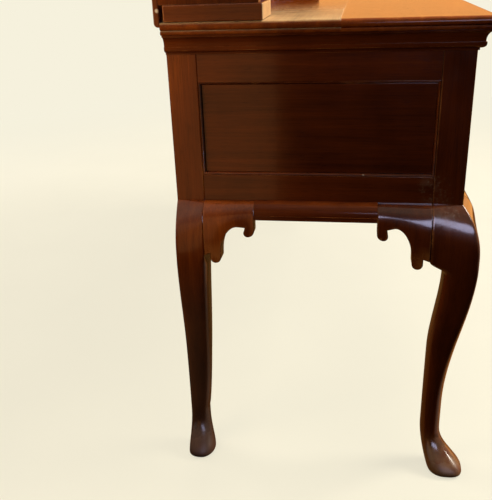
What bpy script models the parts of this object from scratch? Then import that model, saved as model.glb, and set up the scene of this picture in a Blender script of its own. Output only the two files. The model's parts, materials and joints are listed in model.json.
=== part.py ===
"""Welsh dresser: a low base on cabriole legs with two frieze drawers, and a plate rack on its top.

Metres, +Z up, floor at Z = 0. The front faces -Y, and +X is to the right of someone who faces it.
"""

import math

import bmesh
import bpy
from mathutils import Vector

# Overall sizes
CASE_LENGTH = 1.420
CASE_DEPTH = 0.4707
BASE_HEIGHT = 0.810
LEG_HEIGHT = 0.494
RACK_HEIGHT = 1.140

# Clearances and working allowances
GAP = 0.0003
DRAWER_SIDE_CLEARANCE = 0.001
DRAWER_TOP_CLEARANCE = 0.0015
DRAWER_BACK_CLEARANCE = 0.002
PIVOT_CLEARANCE = 0.00035
OVERCUT = 0.005
SOFT_EDGE = 0.0008

# Legs: drops run from the top of the knee, heights from the floor and reaches out from the faces of the case
POST_WIDTH = 0.048
KNEE_RISE = 0.027
KNEE_EDGE = 0.0005
KNEE_DROP = 0.092
KNEE_REACH = 0.0305
KNEE_FULLNESS = 2.4
KNEE_ROUNDNESS = 0.08
KNEE_BLOCK_DROP = 0.089
KNEE_UNDERCUT = 0.024
KNEE_BACK = 0.0238
CALF_HEIGHT = 0.245
CALF_ROUNDNESS = 0.25
ANKLE_HEIGHT = 0.130
ANKLE_SETBACK = 0.0022
ANKLE_WIDTH = 0.0357
FOOT_NECK = 0.088
INSTEP_HOLLOW = 1.8
TOE_HEIGHT = 0.008
TOE_REACH = 0.0395
TOE_ROUNDNESS = 0.30
SOLE_SETBACK = 0.005
HEEL_LIFT = 0.0175

# Rear legs swell sideways only: their back stays close to the back of the case
REAR_KNEE_REACH = 0.0028
REAR_KNEE_WIDTH = 0.0535
REAR_TAPER = 0.72
REAR_ANKLE_REACH = 0.0092
REAR_ANKLE_WIDTH = 0.0377
REAR_FOOT_REACH = 0.0090
REAR_FOOT_WIDTH = 0.0500

# Ear brackets: lengths run from the leg, drops from the top of the knee
BRACKET_LENGTH = 0.086
BRACKET_END_REACH = 0.0225
BRACKET_LEDGE = 0.004
BRACKET_ROLL_DROP = 0.061
BRACKET_END_ROLL_DROP = 0.036
SCROLL_WIDTH = 0.018
OUTER_SCROLL_DROP = 0.0572
OUTER_SCROLL_NECK = 0.0155
OUTER_NOTCH_DROP = 0.0385
HOOK_RADIUS = 0.0072
HOOK_CURL = 150
INNER_SCROLL_DROP = 0.1035
INNER_SCROLL_OFFSET = 0.0105
INNER_NOTCH_DROP = 0.0855
ARCH_CROWN_DROP = 0.0348
ARCH_CROWN_INSET = 0.011
ARCH_SPRING_RISE = 0.0035

# End frames
RAIL_THICKNESS = 0.022
END_BOTTOM_RAIL_HEIGHT = 0.072
END_TOP_RAIL_HEIGHT = 0.0737
PANEL_THICKNESS = 0.0054
PANEL_SETBACK = 0.0083
PANEL_TONGUE = 0.006
PANEL_MARGIN = 0.0006
PANEL_QUIRK = 0.0008
STICKING_WIDTH = 0.0032
STICKING_DEPTH = 0.0050
STICKING_SETBACK = 0.0007

# Front frame, back board and base moulding
FRONT_BOTTOM_RAIL_HEIGHT = 0.051
FRONT_TOP_RAIL_HEIGHT = 0.0492
DIVIDER_WIDTH = 0.040
BASE_BACK_THICKNESS = 0.012
BASE_BACK_SETBACK = 0.003
BASE_MOULDING_HEIGHT = 0.029
BASE_MOULDING_REACH = 0.020
BASE_FILLET_HEIGHT = 0.008
BASE_FILLET_STEP = 0.002

# Drawer runners
RUNNER_HEIGHT = 0.025
RUNNER_LIP = 0.014
GUIDE_HEIGHT = 0.030

# Top board
TOP_THICKNESS = 0.0185
TOP_END_OVERHANG = 0.026
TOP_FRONT_OVERHANG = 0.024
TOP_BEAD_HEIGHT = 0.0065
TOP_BEAD_SETBACK = 0.0012
TOP_QUIRK = 0.005
TOP_NOSE_REACH = 0.0065
TOP_NOSE_HEIGHT = 0.0048

# Bed moulding under the top, from its foot up
BED_MOULDING_HEIGHT = 0.031
BED_MOULDING_REACH = 0.0185
BED_FOOT_HEIGHT = 0.0035
BED_FOOT_REACH = 0.0018
BED_OVOLO_HEIGHT = 0.0055
BED_FILLET_HEIGHT = 0.0035
BED_FILLET_REACH = 0.010
BED_FILLET_STEP = 0.0018
BED_LIP_HEIGHT = 0.003
BED_LIP_STEP = 0.001

# Drawers
DRAWER_FRONT_THICKNESS = 0.020
DRAWER_SIDE_THICKNESS = 0.010
DRAWER_BACK_THICKNESS = 0.010
DRAWER_BOTTOM_THICKNESS = 0.006
DRAWER_BOTTOM_RAISE = 0.010
DRAWER_GROOVE_DEPTH = 0.005
DRAWER_SIDE_DROP = 0.012
DRAWER_BACK_DROP = 0.010
DRAWER_BEAD_WIDTH = 0.004
DRAWER_BEAD_REACH = 0.0025
DOVETAIL_COUNT = 3
DOVETAIL_LENGTH = 0.013
DOVETAIL_PIN_WIDTH = 0.031
DOVETAIL_FLARE = 0.0025

# Brass handles
HANDLE_INSET = 0.120
PLATE_WIDTH = 0.096
PLATE_HEIGHT = 0.050
PLATE_THICKNESS = 0.002
PLATE_WAIST = 0.07
PLATE_CUSP = 0.05
POST_SPACING = 0.064
POST_RADIUS = 0.0036
POST_FOOT_RADIUS = 0.0048
POST_FOOT_HEIGHT = 0.0015
POST_HEAD_RADIUS = 0.0056
POST_REACH = 0.0110
BAIL_RADIUS = 0.0023
BAIL_BELLY_RADIUS = 0.0032
BAIL_PIN_LENGTH = 0.0045
BAIL_SHOULDER = 0.009
BAIL_BEND = 0.0057
BAIL_SIDE = 0.004
BAIL_DROP = 0.030
BAIL_PIVOT_RISE = 0.006

# Plate rack
RACK_INSET = 0.001
RACK_FOOT_WIDTH = 0.096
RACK_FOOT_HEIGHT = 0.025
RACK_FOOT_SETBACK = 0.006
RACK_FOOT_ARRIS = 0.0015
RACK_END_THICKNESS = 0.022
RACK_END_STEP = 0.0015
RACK_END_DEPTH = 0.128
RACK_OGEE_REACH = 0.024
RACK_OGEE_BOTTOM = 0.075
RACK_OGEE_TOP = 0.215
RACK_BACK_THICKNESS = 0.009
RACK_BACK_DROP = 0.007
RACK_BACK_BOARDS = 10
RACK_BACK_GROOVE = 0.003
SHELF_NAMES = ("lower", "middle", "upper")
SHELF_LOWEST = 0.300
SHELF_THICKNESS = 0.018
SHELF_SETBACK = 0.004
SHELF_HOUSING = 0.007
SHELF_GROOVE_OFFSET = 0.040
SHELF_GROOVE_WIDTH = 0.010
SHELF_GROOVE_DEPTH = 0.004
RACK_TOP_THICKNESS = 0.018

# Cornice, from its foot up
CORNICE_HEIGHT = 0.062
CORNICE_REACH = 0.046
CORNICE_BEAD_HEIGHT = 0.010
CORNICE_BEAD_SETBACK = 0.006
CORNICE_COVE_RISE = 0.013
CORNICE_COVE_SETBACK = 0.008
CORNICE_CROWN_HEIGHT = 0.018
CORNICE_CROWN_STEP = 0.002
CORNICE_NOSE_REACH = 0.006
CORNICE_NOSE_HEIGHT = 0.014
CORNICE_FILLET_HEIGHT = 0.002

# Finishes: colour, roughness and metallic value
POLISHED_WOOD = ((0.115, 0.030, 0.008), 0.28, 0.0)
INSIDE_WOOD = ((0.320, 0.180, 0.080), 0.65, 0.0)
BRASS = ((0.620, 0.420, 0.140), 0.30, 1.0)

# Places along the length and depth
X_END = CASE_LENGTH / 2
FRONT_REACH = max(TOE_REACH, TOP_FRONT_OVERHANG)
BACK_REACH = max(GAP + RACK_BACK_THICKNESS, REAR_KNEE_REACH, REAR_ANKLE_REACH, REAR_FOOT_REACH)
Y_BACK = (CASE_DEPTH + FRONT_REACH - BACK_REACH) / 2
Y_FRONT = Y_BACK - CASE_DEPTH
BASE_BACK_FACE = Y_BACK - BASE_BACK_SETBACK - BASE_BACK_THICKNESS
RACK_X = X_END + TOP_END_OVERHANG - RACK_INSET
RACK_END_X = RACK_X - RACK_END_STEP
RACK_END_INSIDE = RACK_END_X - RACK_END_THICKNESS
RACK_BASE_DEPTH = RACK_END_DEPTH + RACK_OGEE_REACH
SHELF_DEPTH = RACK_END_DEPTH - SHELF_SETBACK

# Heights of the legs and brackets
KNEE_TOP = LEG_HEIGHT + KNEE_RISE
KNEE_HEIGHT = KNEE_TOP - KNEE_DROP
KNEE_BLOCK_BOTTOM = KNEE_TOP - KNEE_BLOCK_DROP
KNEE_BACK_HEIGHT = KNEE_BLOCK_BOTTOM - KNEE_UNDERCUT
BRACKET_ROLL_BOTTOM = KNEE_TOP - BRACKET_ROLL_DROP

# Heights of the case
TOP_UNDERSIDE = BASE_HEIGHT - TOP_THICKNESS
FRAME_TOP = TOP_UNDERSIDE - GAP
END_BOTTOM_RAIL_TOP = LEG_HEIGHT + END_BOTTOM_RAIL_HEIGHT
END_TOP_RAIL_BOTTOM = FRAME_TOP - END_TOP_RAIL_HEIGHT
FRONT_BOTTOM_RAIL_TOP = LEG_HEIGHT + FRONT_BOTTOM_RAIL_HEIGHT
FRONT_TOP_RAIL_BOTTOM = FRAME_TOP - FRONT_TOP_RAIL_HEIGHT
DRAWER_BOTTOM_EDGE = FRONT_BOTTOM_RAIL_TOP + GAP
DRAWER_FRONT_TOP = FRONT_TOP_RAIL_BOTTOM - DRAWER_TOP_CLEARANCE
DRAWER_SIDE_TOP = DRAWER_FRONT_TOP - DRAWER_SIDE_DROP
DRAWER_FLOOR = DRAWER_BOTTOM_EDGE + DRAWER_BOTTOM_RAISE
DRAWER_REAR = BASE_BACK_FACE - DRAWER_BACK_CLEARANCE

# Heights of the rack
RACK_TOP = BASE_HEIGHT + RACK_HEIGHT
RACK_FOOT_TOP = BASE_HEIGHT + GAP + RACK_FOOT_HEIGHT
RACK_END_BOTTOM = RACK_FOOT_TOP + GAP
RACK_END_TOP = RACK_TOP - RACK_TOP_THICKNESS - GAP

# How finely curves are drawn, and the two ends of the scale of corner roundness
LEG_SECTION_POINTS = 24
ROLL_STEPS = 6
SCROLL_STEPS = 8
BRACKET_STATIONS = 7
OGEE_STEPS = 8
PLATE_POINTS = 40
POST_SIDES = 12
BAIL_SIDES = 8
ROUND_SECTION = 0.5
SQUARE_SECTION = 0.0
SMALLEST = 0.001


def clear_scene():
    """Removes what the scene holds."""
    for obj in list(bpy.data.objects):
        bpy.data.objects.remove(obj, do_unlink=True)


def finish(name, look):
    """A material of one finish for one piece."""
    colour, roughness, metallic = look
    material = bpy.data.materials.new(name + "_finish")
    material.use_nodes = True
    shader = material.node_tree.nodes["Principled BSDF"]
    shader.inputs["Base Color"].default_value = (*colour, 1.0)
    shader.inputs["Roughness"].default_value = roughness
    shader.inputs["Metallic"].default_value = metallic
    return material


def group(name, place):
    """An empty that carries the pieces of one moving body."""
    empty = bpy.data.objects.new(name, None)
    empty.location = place
    bpy.context.scene.collection.objects.link(empty)
    return empty


def face_outwards(mesh):
    """Turns every face of a closed mesh to point out of it."""
    bmesh.ops.recalc_face_normals(mesh, faces=mesh.faces)
    if mesh.calc_volume(signed=True) < 0.0:
        bmesh.ops.reverse_faces(mesh, faces=mesh.faces)


def solid(name, mesh, look=POLISHED_WOOD, origin=(0.0, 0.0, 0.0), parent=None):
    """Makes a named piece of a mesh in world places, with its own origin and finish."""
    face_outwards(mesh)
    bmesh.ops.translate(mesh, verts=mesh.verts, vec=-Vector(origin))
    data = bpy.data.meshes.new(name)
    mesh.to_mesh(data)
    mesh.free()
    data.materials.append(finish(name, look))
    obj = bpy.data.objects.new(name, data)
    obj.location = origin
    if parent:
        obj.parent = parent
        obj.location = Vector(origin) - parent.location
    bpy.context.scene.collection.objects.link(obj)
    return obj


def shade_round(obj, angle=40):
    """Smooth shading that keeps the sharp arrises."""
    obj.data.shade_smooth()
    obj.data.set_sharp_from_angle(angle=math.radians(angle))


def apply_boolean(obj, operation, tool_mesh):
    """Cuts a tool out of a piece, or joins it on, and keeps the result as the piece's mesh."""
    face_outwards(tool_mesh)
    data = bpy.data.meshes.new("tool")
    tool_mesh.to_mesh(data)
    tool_mesh.free()
    tool = bpy.data.objects.new("tool", data)
    bpy.context.scene.collection.objects.link(tool)
    modifier = obj.modifiers.new("tool", "BOOLEAN")
    modifier.operation = operation
    modifier.solver = "EXACT"
    modifier.object = tool
    bpy.context.view_layer.update()
    graph = bpy.context.evaluated_depsgraph_get()
    shaped = bpy.data.meshes.new_from_object(obj.evaluated_get(graph))
    obj.modifiers.clear()
    old = obj.data
    obj.data = shaped
    shaped.name = old.name
    bpy.data.meshes.remove(old)
    bpy.data.objects.remove(tool, do_unlink=True)
    bpy.data.meshes.remove(data)


def skin(rings):
    """A closed mesh through rings of points, with a face over each end."""
    mesh = bmesh.new()
    loops = [[mesh.verts.new(point) for point in ring] for ring in rings]
    count = len(rings[0])
    for lower, upper in zip(loops, loops[1:]):
        for index in range(count):
            after = (index + 1) % count
            mesh.faces.new((lower[index], lower[after], upper[after], upper[index]))
    mesh.faces.new(list(reversed(loops[0])))
    mesh.faces.new(loops[-1])
    return mesh


def box(x_range, y_range, z_range):
    """A plain block."""
    (x0, x1), (y0, y1), (z0, z1) = x_range, y_range, z_range
    rings = [[(x0, y0, z), (x1, y0, z), (x1, y1, z), (x0, y1, z)] for z in (z0, z1)]
    return skin(rings)


def board(name, x_range, y_range, z_range, arris=SOFT_EDGE, **kind):
    """A block with its edges eased."""
    mesh = box(x_range, y_range, z_range)
    bmesh.ops.bevel(mesh, geom=mesh.edges[:], offset=arris, segments=1, affect="EDGES", clamp_overlap=True)
    return solid(name, mesh, **kind)


def length_of_section(outline, axis, start, end):
    """A section drawn in the plane across an axis, run from start to end along it."""

    def place(point, along):
        u, v = point
        return {"X": (along, u, v), "Y": (u, along, v), "Z": (u, v, along)}[axis]

    return skin([[place(point, along) for point in outline] for along in (start, end)])


def arc(centre, radii, start, end, steps):
    """Points of an elliptical arc, angles in degrees."""
    points = []
    for step in range(steps + 1):
        angle = math.radians(start + (end - start) * step / steps)
        points.append((centre[0] + radii[0] * math.cos(angle), centre[1] + radii[1] * math.sin(angle)))
    return points


def smooth(share):
    """An S-shaped rise from 0 to 1."""
    share = min(1.0, max(0.0, share))
    return share * share * (3.0 - 2.0 * share)


def ease(z, low, value_low, high, value_high):
    """A value that runs in an S from one height to another."""
    return value_low + (value_high - value_low) * smooth((z - low) / (high - low))


def spaced(stretches):
    """Heights of the sections: each stretch is its low end, its high end and its count."""
    heights = []
    for low, high, count in stretches:
        heights += [low + (high - low) * step / count for step in range(count)]
    return heights


# Legs


def knee_face(z):
    """How far a leg's curved face stands out from the face of the case."""
    if z >= KNEE_TOP:
        return 0.0
    if z >= KNEE_HEIGHT:
        rise = (z - KNEE_HEIGHT) / (KNEE_TOP - KNEE_HEIGHT)
        return KNEE_REACH * (1.0 - rise**KNEE_FULLNESS)
    if z >= FOOT_NECK:
        return ease(z, ANKLE_HEIGHT, -ANKLE_SETBACK, KNEE_HEIGHT, KNEE_REACH)
    if z >= TOE_HEIGHT:
        drop = (FOOT_NECK - z) / (FOOT_NECK - TOE_HEIGHT)
        return -ANKLE_SETBACK + (TOE_REACH + ANKLE_SETBACK) * smooth(drop**INSTEP_HOLLOW)
    return TOE_REACH - SOLE_SETBACK * (1.0 - z / TOE_HEIGHT) ** 2


def bracket_face(z, share):
    """How far a bracket stands out: upright, then rolled over to a ledge, and flatter towards its end."""
    reach = KNEE_REACH + (BRACKET_END_REACH - KNEE_REACH) * smooth(share)
    drop = BRACKET_ROLL_DROP + (BRACKET_END_ROLL_DROP - BRACKET_ROLL_DROP) * smooth(share)
    rise = min(1.0, max(0.0, 1.0 - (KNEE_TOP - z) / drop))
    return BRACKET_LEDGE + (reach - BRACKET_LEDGE) * math.sqrt(1.0 - rise * rise)


def knee_swell(z):
    """How much fuller the knee is beside a bracket than at its outer corner."""
    if KNEE_HEIGHT <= z < KNEE_TOP:
        return max(0.0, bracket_face(z, 0.0) - knee_face(z))
    return 0.0


def roll_heights(steps):
    """Heights at even turns of the rolled edge of the knees and brackets, from its foot to below its top."""
    turns = [math.pi / 2 * step / steps for step in range(steps)]
    return [BRACKET_ROLL_BOTTOM + BRACKET_ROLL_DROP * math.sin(turn) for turn in turns]


def knee_back(z):
    """How far the inner side of a curved leg lies in from the face of the case."""
    ankle_back = ANKLE_SETBACK + ANKLE_WIDTH
    if z >= KNEE_BACK_HEIGHT:
        return ease(z, KNEE_BACK_HEIGHT, KNEE_BACK, KNEE_BLOCK_BOTTOM, POST_WIDTH)
    if z >= FOOT_NECK:
        return ease(z, CALF_HEIGHT, ankle_back, KNEE_BACK_HEIGHT, KNEE_BACK)
    return ankle_back - HEEL_LIFT * (1.0 - z / FOOT_NECK) ** 2


def rear_face(z):
    """How far a rear leg stands out behind the back of the case."""
    if z >= KNEE_HEIGHT:
        return ease(z, KNEE_HEIGHT, REAR_KNEE_REACH, KNEE_TOP, 0.0)
    if z >= FOOT_NECK:
        return ease(z, ANKLE_HEIGHT, REAR_ANKLE_REACH, KNEE_HEIGHT, REAR_KNEE_REACH)
    if z >= TOE_HEIGHT:
        return ease(z, TOE_HEIGHT, REAR_FOOT_REACH, FOOT_NECK, REAR_ANKLE_REACH)
    return REAR_FOOT_REACH - SOLE_SETBACK * (1.0 - z / TOE_HEIGHT) ** 2


def rear_back(z):
    """How far the inner side of a rear leg lies in from the back of the case."""
    knee = REAR_KNEE_WIDTH - REAR_KNEE_REACH
    ankle = REAR_ANKLE_WIDTH - REAR_ANKLE_REACH
    foot = REAR_FOOT_WIDTH - REAR_FOOT_REACH
    if z >= KNEE_BACK_HEIGHT:
        return ease(z, KNEE_BACK_HEIGHT, knee, KNEE_BLOCK_BOTTOM, POST_WIDTH)
    if z >= FOOT_NECK:
        rise = (z - FOOT_NECK) / (KNEE_BACK_HEIGHT - FOOT_NECK)
        return ankle + (knee - ankle) * rise**REAR_TAPER
    if z >= TOE_HEIGHT:
        drop = (FOOT_NECK - z) / (FOOT_NECK - TOE_HEIGHT)
        return ankle + (foot - ankle) * smooth(drop**INSTEP_HOLLOW)
    return foot - SOLE_SETBACK * (1.0 - z / TOE_HEIGHT) ** 2


def outer_roundness(z):
    """Roundness of a leg's outer corner: crisp at the knee, round at the ankle, pointed at the toe."""
    if z >= KNEE_HEIGHT:
        return ease(z, KNEE_HEIGHT, KNEE_ROUNDNESS, KNEE_TOP, SQUARE_SECTION)
    if z >= FOOT_NECK:
        return ease(z, ANKLE_HEIGHT, ROUND_SECTION, KNEE_HEIGHT, KNEE_ROUNDNESS)
    return ease(z, TOE_HEIGHT, TOE_ROUNDNESS, FOOT_NECK, ROUND_SECTION)


def inner_roundness(z):
    """Roundness of a leg's other corners: square where the brackets join, round from the calf down."""
    if z >= KNEE_BACK_HEIGHT:
        return ease(z, KNEE_BACK_HEIGHT, CALF_ROUNDNESS, KNEE_BLOCK_BOTTOM, SQUARE_SECTION)
    return ease(z, ANKLE_HEIGHT, ROUND_SECTION, KNEE_BACK_HEIGHT, CALF_ROUNDNESS)


def corner_reach(cosine, sine, roundness):
    """Distance from the middle to the edge of a section that spans -1 to 1, square to round."""
    if roundness <= SMALLEST:
        return 1.0 / max(cosine, sine)
    power = 1.0 / roundness
    return (cosine**power + sine**power) ** (-roundness)


def leg_section(z, side_span, depth_span, depth_swell):
    """Points of a leg's section, as distances out from the end face and out from the front or back face."""
    side_low, side_high = side_span
    depth_low, depth_high = depth_span
    side_swell = knee_swell(z)
    points = []
    for index in range(LEG_SECTION_POINTS):
        angle = 2.0 * math.pi * index / LEG_SECTION_POINTS
        cosine = math.cos(angle)
        sine = math.sin(angle)
        outer = cosine > SMALLEST and sine > SMALLEST
        roundness = outer_roundness(z) if outer else inner_roundness(z)
        reach = corner_reach(abs(cosine), abs(sine), roundness)
        across = (1.0 + reach * cosine) / 2
        along = (1.0 + reach * sine) / 2
        side = side_low + across * (side_high - side_low + side_swell * (1.0 - along))
        depth = depth_low + along * (depth_high - depth_low + depth_swell * (1.0 - across))
        points.append((side, depth))
    return points


def leg_heights():
    """Heights of the sections of a leg, closer where its outline turns faster."""
    stretches = (
        (0.0, TOE_HEIGHT, 2),
        (TOE_HEIGHT, FOOT_NECK, 5),
        (FOOT_NECK, ANKLE_HEIGHT, 1),
        (ANKLE_HEIGHT, CALF_HEIGHT, 4),
        (CALF_HEIGHT, KNEE_BACK_HEIGHT, 5),
        (KNEE_BACK_HEIGHT, KNEE_BLOCK_BOTTOM, 4),
        (KNEE_BLOCK_BOTTOM, BRACKET_ROLL_BOTTOM, 2),
    )
    return spaced(stretches) + roll_heights(ROLL_STEPS) + [KNEE_TOP - KNEE_EDGE, KNEE_TOP, FRAME_TOP]


def make_leg(name, side, front):
    """A cabriole leg and its corner post in one piece, grooved for the end panel."""
    rings = []
    for z in leg_heights():
        side_span = (-knee_back(z), knee_face(z))
        depth_span = side_span if front else (-rear_back(z), rear_face(z))
        depth_swell = knee_swell(z) if front else 0.0
        ring = []
        for out, depth in leg_section(z, side_span, depth_span, depth_swell):
            y = Y_FRONT - depth if front else Y_BACK + depth
            ring.append((side * (X_END + out), y, z))
        rings.append(ring)
    leg = solid(name, skin(rings))
    inner_face = Y_FRONT + POST_WIDTH if front else Y_BACK - POST_WIDTH
    towards_panel = 1 if front else -1
    groove = box(
        sorted(side * (X_END - depth) for depth in panel_groove()),
        sorted((inner_face + towards_panel * OVERCUT, inner_face - towards_panel * PANEL_TONGUE)),
        (END_BOTTOM_RAIL_TOP - PANEL_TONGUE, END_TOP_RAIL_BOTTOM + PANEL_TONGUE),
    )
    apply_boolean(leg, "DIFFERENCE", groove)
    shade_round(leg)


def make_legs():
    """Four legs, the two rear ones of a plainer shape."""
    for side, end in ((-1, "left"), (1, "right")):
        make_leg("leg_front_" + end, side, True)
        make_leg("leg_rear_" + end, side, False)


# Ear brackets


def bracket_outline():
    """Outline of an ear bracket, scroll, arch and hook, as distances from the leg and heights."""
    radius = SCROLL_WIDTH / 2
    inner_centre = (INNER_SCROLL_OFFSET + radius, KNEE_TOP - INNER_SCROLL_DROP + radius)
    outer_inside = BRACKET_LENGTH - SCROLL_WIDTH
    hook_bottom = KNEE_TOP - OUTER_SCROLL_DROP
    hook_middle = outer_inside + HOOK_RADIUS
    hook_round = (HOOK_RADIUS, HOOK_RADIUS)
    hook_end = BRACKET_LENGTH - hook_middle
    crown = KNEE_TOP - ARCH_CROWN_DROP
    spring = inner_centre[1] + ARCH_SPRING_RISE
    arch_middle = outer_inside - ARCH_CROWN_INSET
    arch = (arch_middle - INNER_SCROLL_OFFSET - SCROLL_WIDTH, crown - spring)
    outline = [(GAP, KNEE_TOP), (GAP, KNEE_BLOCK_BOTTOM)]
    outline.append((INNER_SCROLL_OFFSET, KNEE_TOP - INNER_NOTCH_DROP))
    outline += arc(inner_centre, (radius, radius), 180, 360, SCROLL_STEPS)
    outline += arc((arch_middle, spring), arch, 180, 90, SCROLL_STEPS)
    outline.append((BRACKET_LENGTH - OUTER_SCROLL_NECK, KNEE_TOP - OUTER_NOTCH_DROP))
    outline += arc((hook_middle, hook_bottom + HOOK_RADIUS), hook_round, HOOK_CURL, 270, SCROLL_STEPS)
    outline += arc((hook_middle, hook_bottom + hook_end), (hook_end, hook_end), 270, 360, SCROLL_STEPS)[1:]
    outline.append((BRACKET_LENGTH, KNEE_TOP))
    return outline


def cut_lines(mesh, axis, places):
    """Adds lines across a flat-drawn mesh, so that it can follow a curved face."""
    for place in places:
        geometry = mesh.verts[:] + mesh.edges[:] + mesh.faces[:]
        point = [0.0, 0.0, 0.0]
        point[axis] = place
        direction = [0.0, 0.0, 0.0]
        direction[axis] = 1.0
        bmesh.ops.bisect_plane(mesh, geom=geometry, plane_co=point, plane_no=direction)


def make_bracket(name, place):
    """A scrolled bracket whose face follows the knee; place turns along, out and height into world places."""
    mesh = bmesh.new()
    face = mesh.faces.new([mesh.verts.new((along, height, 0.0)) for along, height in bracket_outline()])
    raised = bmesh.ops.extrude_face_region(mesh, geom=[face])["geom"]
    fronts = [item for item in raised if isinstance(item, bmesh.types.BMVert)]
    bmesh.ops.translate(mesh, verts=fronts, vec=(0.0, 0.0, 1.0))
    cut_lines(mesh, 1, roll_heights(ROLL_STEPS))
    cut_lines(mesh, 0, [BRACKET_LENGTH * step / BRACKET_STATIONS for step in range(1, BRACKET_STATIONS)])
    for vertex in mesh.verts:
        along, height, forward = vertex.co
        out = GAP + forward * (bracket_face(height, along / BRACKET_LENGTH) - GAP)
        vertex.co = place(along, out, height)
    shade_round(solid(name, mesh))


def make_brackets():
    """Six brackets: two on each end and two on the front."""
    for side, end in ((-1, "left"), (1, "right")):

        def beside_front_leg(along, out, height, side=side):
            return (side * (X_END + out), Y_FRONT + POST_WIDTH + along, height)

        def beside_rear_leg(along, out, height, side=side):
            return (side * (X_END + out), Y_BACK - POST_WIDTH - along, height)

        def on_front(along, out, height, side=side):
            return (side * (X_END - POST_WIDTH - along), Y_FRONT - out, height)

        make_bracket(f"bracket_{end}_front", beside_front_leg)
        make_bracket(f"bracket_{end}_rear", beside_rear_leg)
        make_bracket(f"bracket_front_{end}", on_front)


# Case


def panel_groove():
    """Depths behind the end face between which the panel's tongue runs."""
    return PANEL_SETBACK - GAP, PANEL_SETBACK + PANEL_THICKNESS + GAP


def rail_section(side, grooved_edge, plain_edge):
    """Section of an end rail, with the panel groove in one edge."""
    near, far = panel_groove()
    into = PANEL_TONGUE if plain_edge > grooved_edge else -PANEL_TONGUE
    steps = (
        (0.0, grooved_edge),
        (near, grooved_edge),
        (near, grooved_edge + into),
        (far, grooved_edge + into),
        (far, grooved_edge),
        (RAIL_THICKNESS, grooved_edge),
        (RAIL_THICKNESS, plain_edge),
        (0.0, plain_edge),
    )
    return [(side * (X_END - depth), z) for depth, z in steps]


def stacked_rectangles(place, rows):
    """A solid through rectangles: each row is an inset and a depth, which place turns into corner points."""
    return skin([place(inset, depth) for inset, depth in rows])


def make_end_frame(side, end):
    """Rails and sunk panel between the posts of one end."""
    y_range = (Y_FRONT + POST_WIDTH + GAP, Y_BACK - POST_WIDTH - GAP)
    bottom = rail_section(side, END_BOTTOM_RAIL_TOP, LEG_HEIGHT)
    top = rail_section(side, END_TOP_RAIL_BOTTOM, FRAME_TOP)
    solid("end_bottom_rail_" + end, length_of_section(bottom, "Y", *y_range))
    solid("end_top_rail_" + end, length_of_section(top, "Y", *y_range))

    def rectangle(inset, depth):
        x = side * (X_END - depth)
        y0 = Y_FRONT + POST_WIDTH + inset
        y1 = Y_BACK - POST_WIDTH - inset
        z0 = END_BOTTOM_RAIL_TOP + inset
        z1 = END_TOP_RAIL_BOTTOM - inset
        return [(x, y0, z0), (x, y1, z0), (x, y1, z1), (x, y0, z1)]

    tongue = GAP - PANEL_TONGUE
    edge = GAP + PANEL_MARGIN
    field = STICKING_SETBACK + STICKING_DEPTH
    rows = [
        (tongue, PANEL_SETBACK + PANEL_THICKNESS),
        (tongue, PANEL_SETBACK),
        (GAP, PANEL_SETBACK),
        (GAP, STICKING_SETBACK),
    ]
    rows += arc((edge, field), (STICKING_WIDTH, STICKING_DEPTH), -90, 0, 4)
    rows.append((edge + STICKING_WIDTH, field + PANEL_QUIRK))
    rows.append((edge + STICKING_WIDTH + PANEL_QUIRK, field))
    solid("end_panel_" + end, stacked_rectangles(rectangle, rows))


def make_front_frame():
    """Rails and divider round the drawers, and the back board."""
    x_range = (-X_END + POST_WIDTH + GAP, X_END - POST_WIDTH - GAP)
    y_range = (Y_FRONT, Y_FRONT + RAIL_THICKNESS)
    board("front_bottom_rail", x_range, y_range, (LEG_HEIGHT, FRONT_BOTTOM_RAIL_TOP))
    board("front_top_rail", x_range, y_range, (FRONT_TOP_RAIL_BOTTOM, FRAME_TOP))
    divider = (-DIVIDER_WIDTH / 2, DIVIDER_WIDTH / 2)
    board("drawer_divider", divider, y_range, (FRONT_BOTTOM_RAIL_TOP + GAP, FRONT_TOP_RAIL_BOTTOM - GAP))
    back_range = (BASE_BACK_FACE, BASE_BACK_FACE + BASE_BACK_THICKNESS)
    board("base_back", x_range, back_range, (LEG_HEIGHT, FRAME_TOP), look=INSIDE_WOOD)


def make_runners():
    """Runners with a guide: one on each end frame and one behind the divider."""
    top = FRONT_BOTTOM_RAIL_TOP
    between_posts = (Y_FRONT + POST_WIDTH + GAP, Y_BACK - POST_WIDTH - GAP)
    for side, end in ((-1, "left"), (1, "right")):
        outer = X_END - RAIL_THICKNESS - GAP
        guide = X_END - POST_WIDTH
        lip = guide - DRAWER_SIDE_CLEARANCE - RUNNER_LIP
        steps = (
            (outer, top - RUNNER_HEIGHT),
            (lip, top - RUNNER_HEIGHT),
            (lip, top),
            (guide, top),
            (guide, top + GUIDE_HEIGHT),
            (outer, top + GUIDE_HEIGHT),
        )
        section = [(side * x, z) for x, z in steps]
        solid("runner_" + end, length_of_section(section, "Y", *between_posts), look=INSIDE_WOOD)
    guide = DIVIDER_WIDTH / 2
    lip = guide + DRAWER_SIDE_CLEARANCE + RUNNER_LIP
    half = ((lip, top - RUNNER_HEIGHT), (lip, top), (guide, top), (guide, top + GUIDE_HEIGHT))
    section = list(half) + [(-x, z) for x, z in reversed(half)]
    y_range = (Y_FRONT + RAIL_THICKNESS + GAP, BASE_BACK_FACE - GAP)
    solid("runner_middle", length_of_section(section, "Y", *y_range), look=INSIDE_WOOD)


# Mouldings and top


def end_run(side, face_x, back_y, front_y, profile):
    """A moulding along an end, cut square at the back and mitred at the front."""

    def ring(at_front):
        points = []
        for out, z in profile:
            y = front_y - out + GAP if at_front else back_y
            points.append((side * (face_x + GAP + out), y, z))
        return points

    return skin([ring(False), ring(True)])


def front_run(face_x, front_y, profile):
    """A moulding along the front, mitred at both ends."""
    rings = []
    for side in (-1, 1):
        rings.append([(side * (face_x + out - GAP), front_y - GAP - out, z) for out, z in profile])
    return skin(rings)


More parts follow.
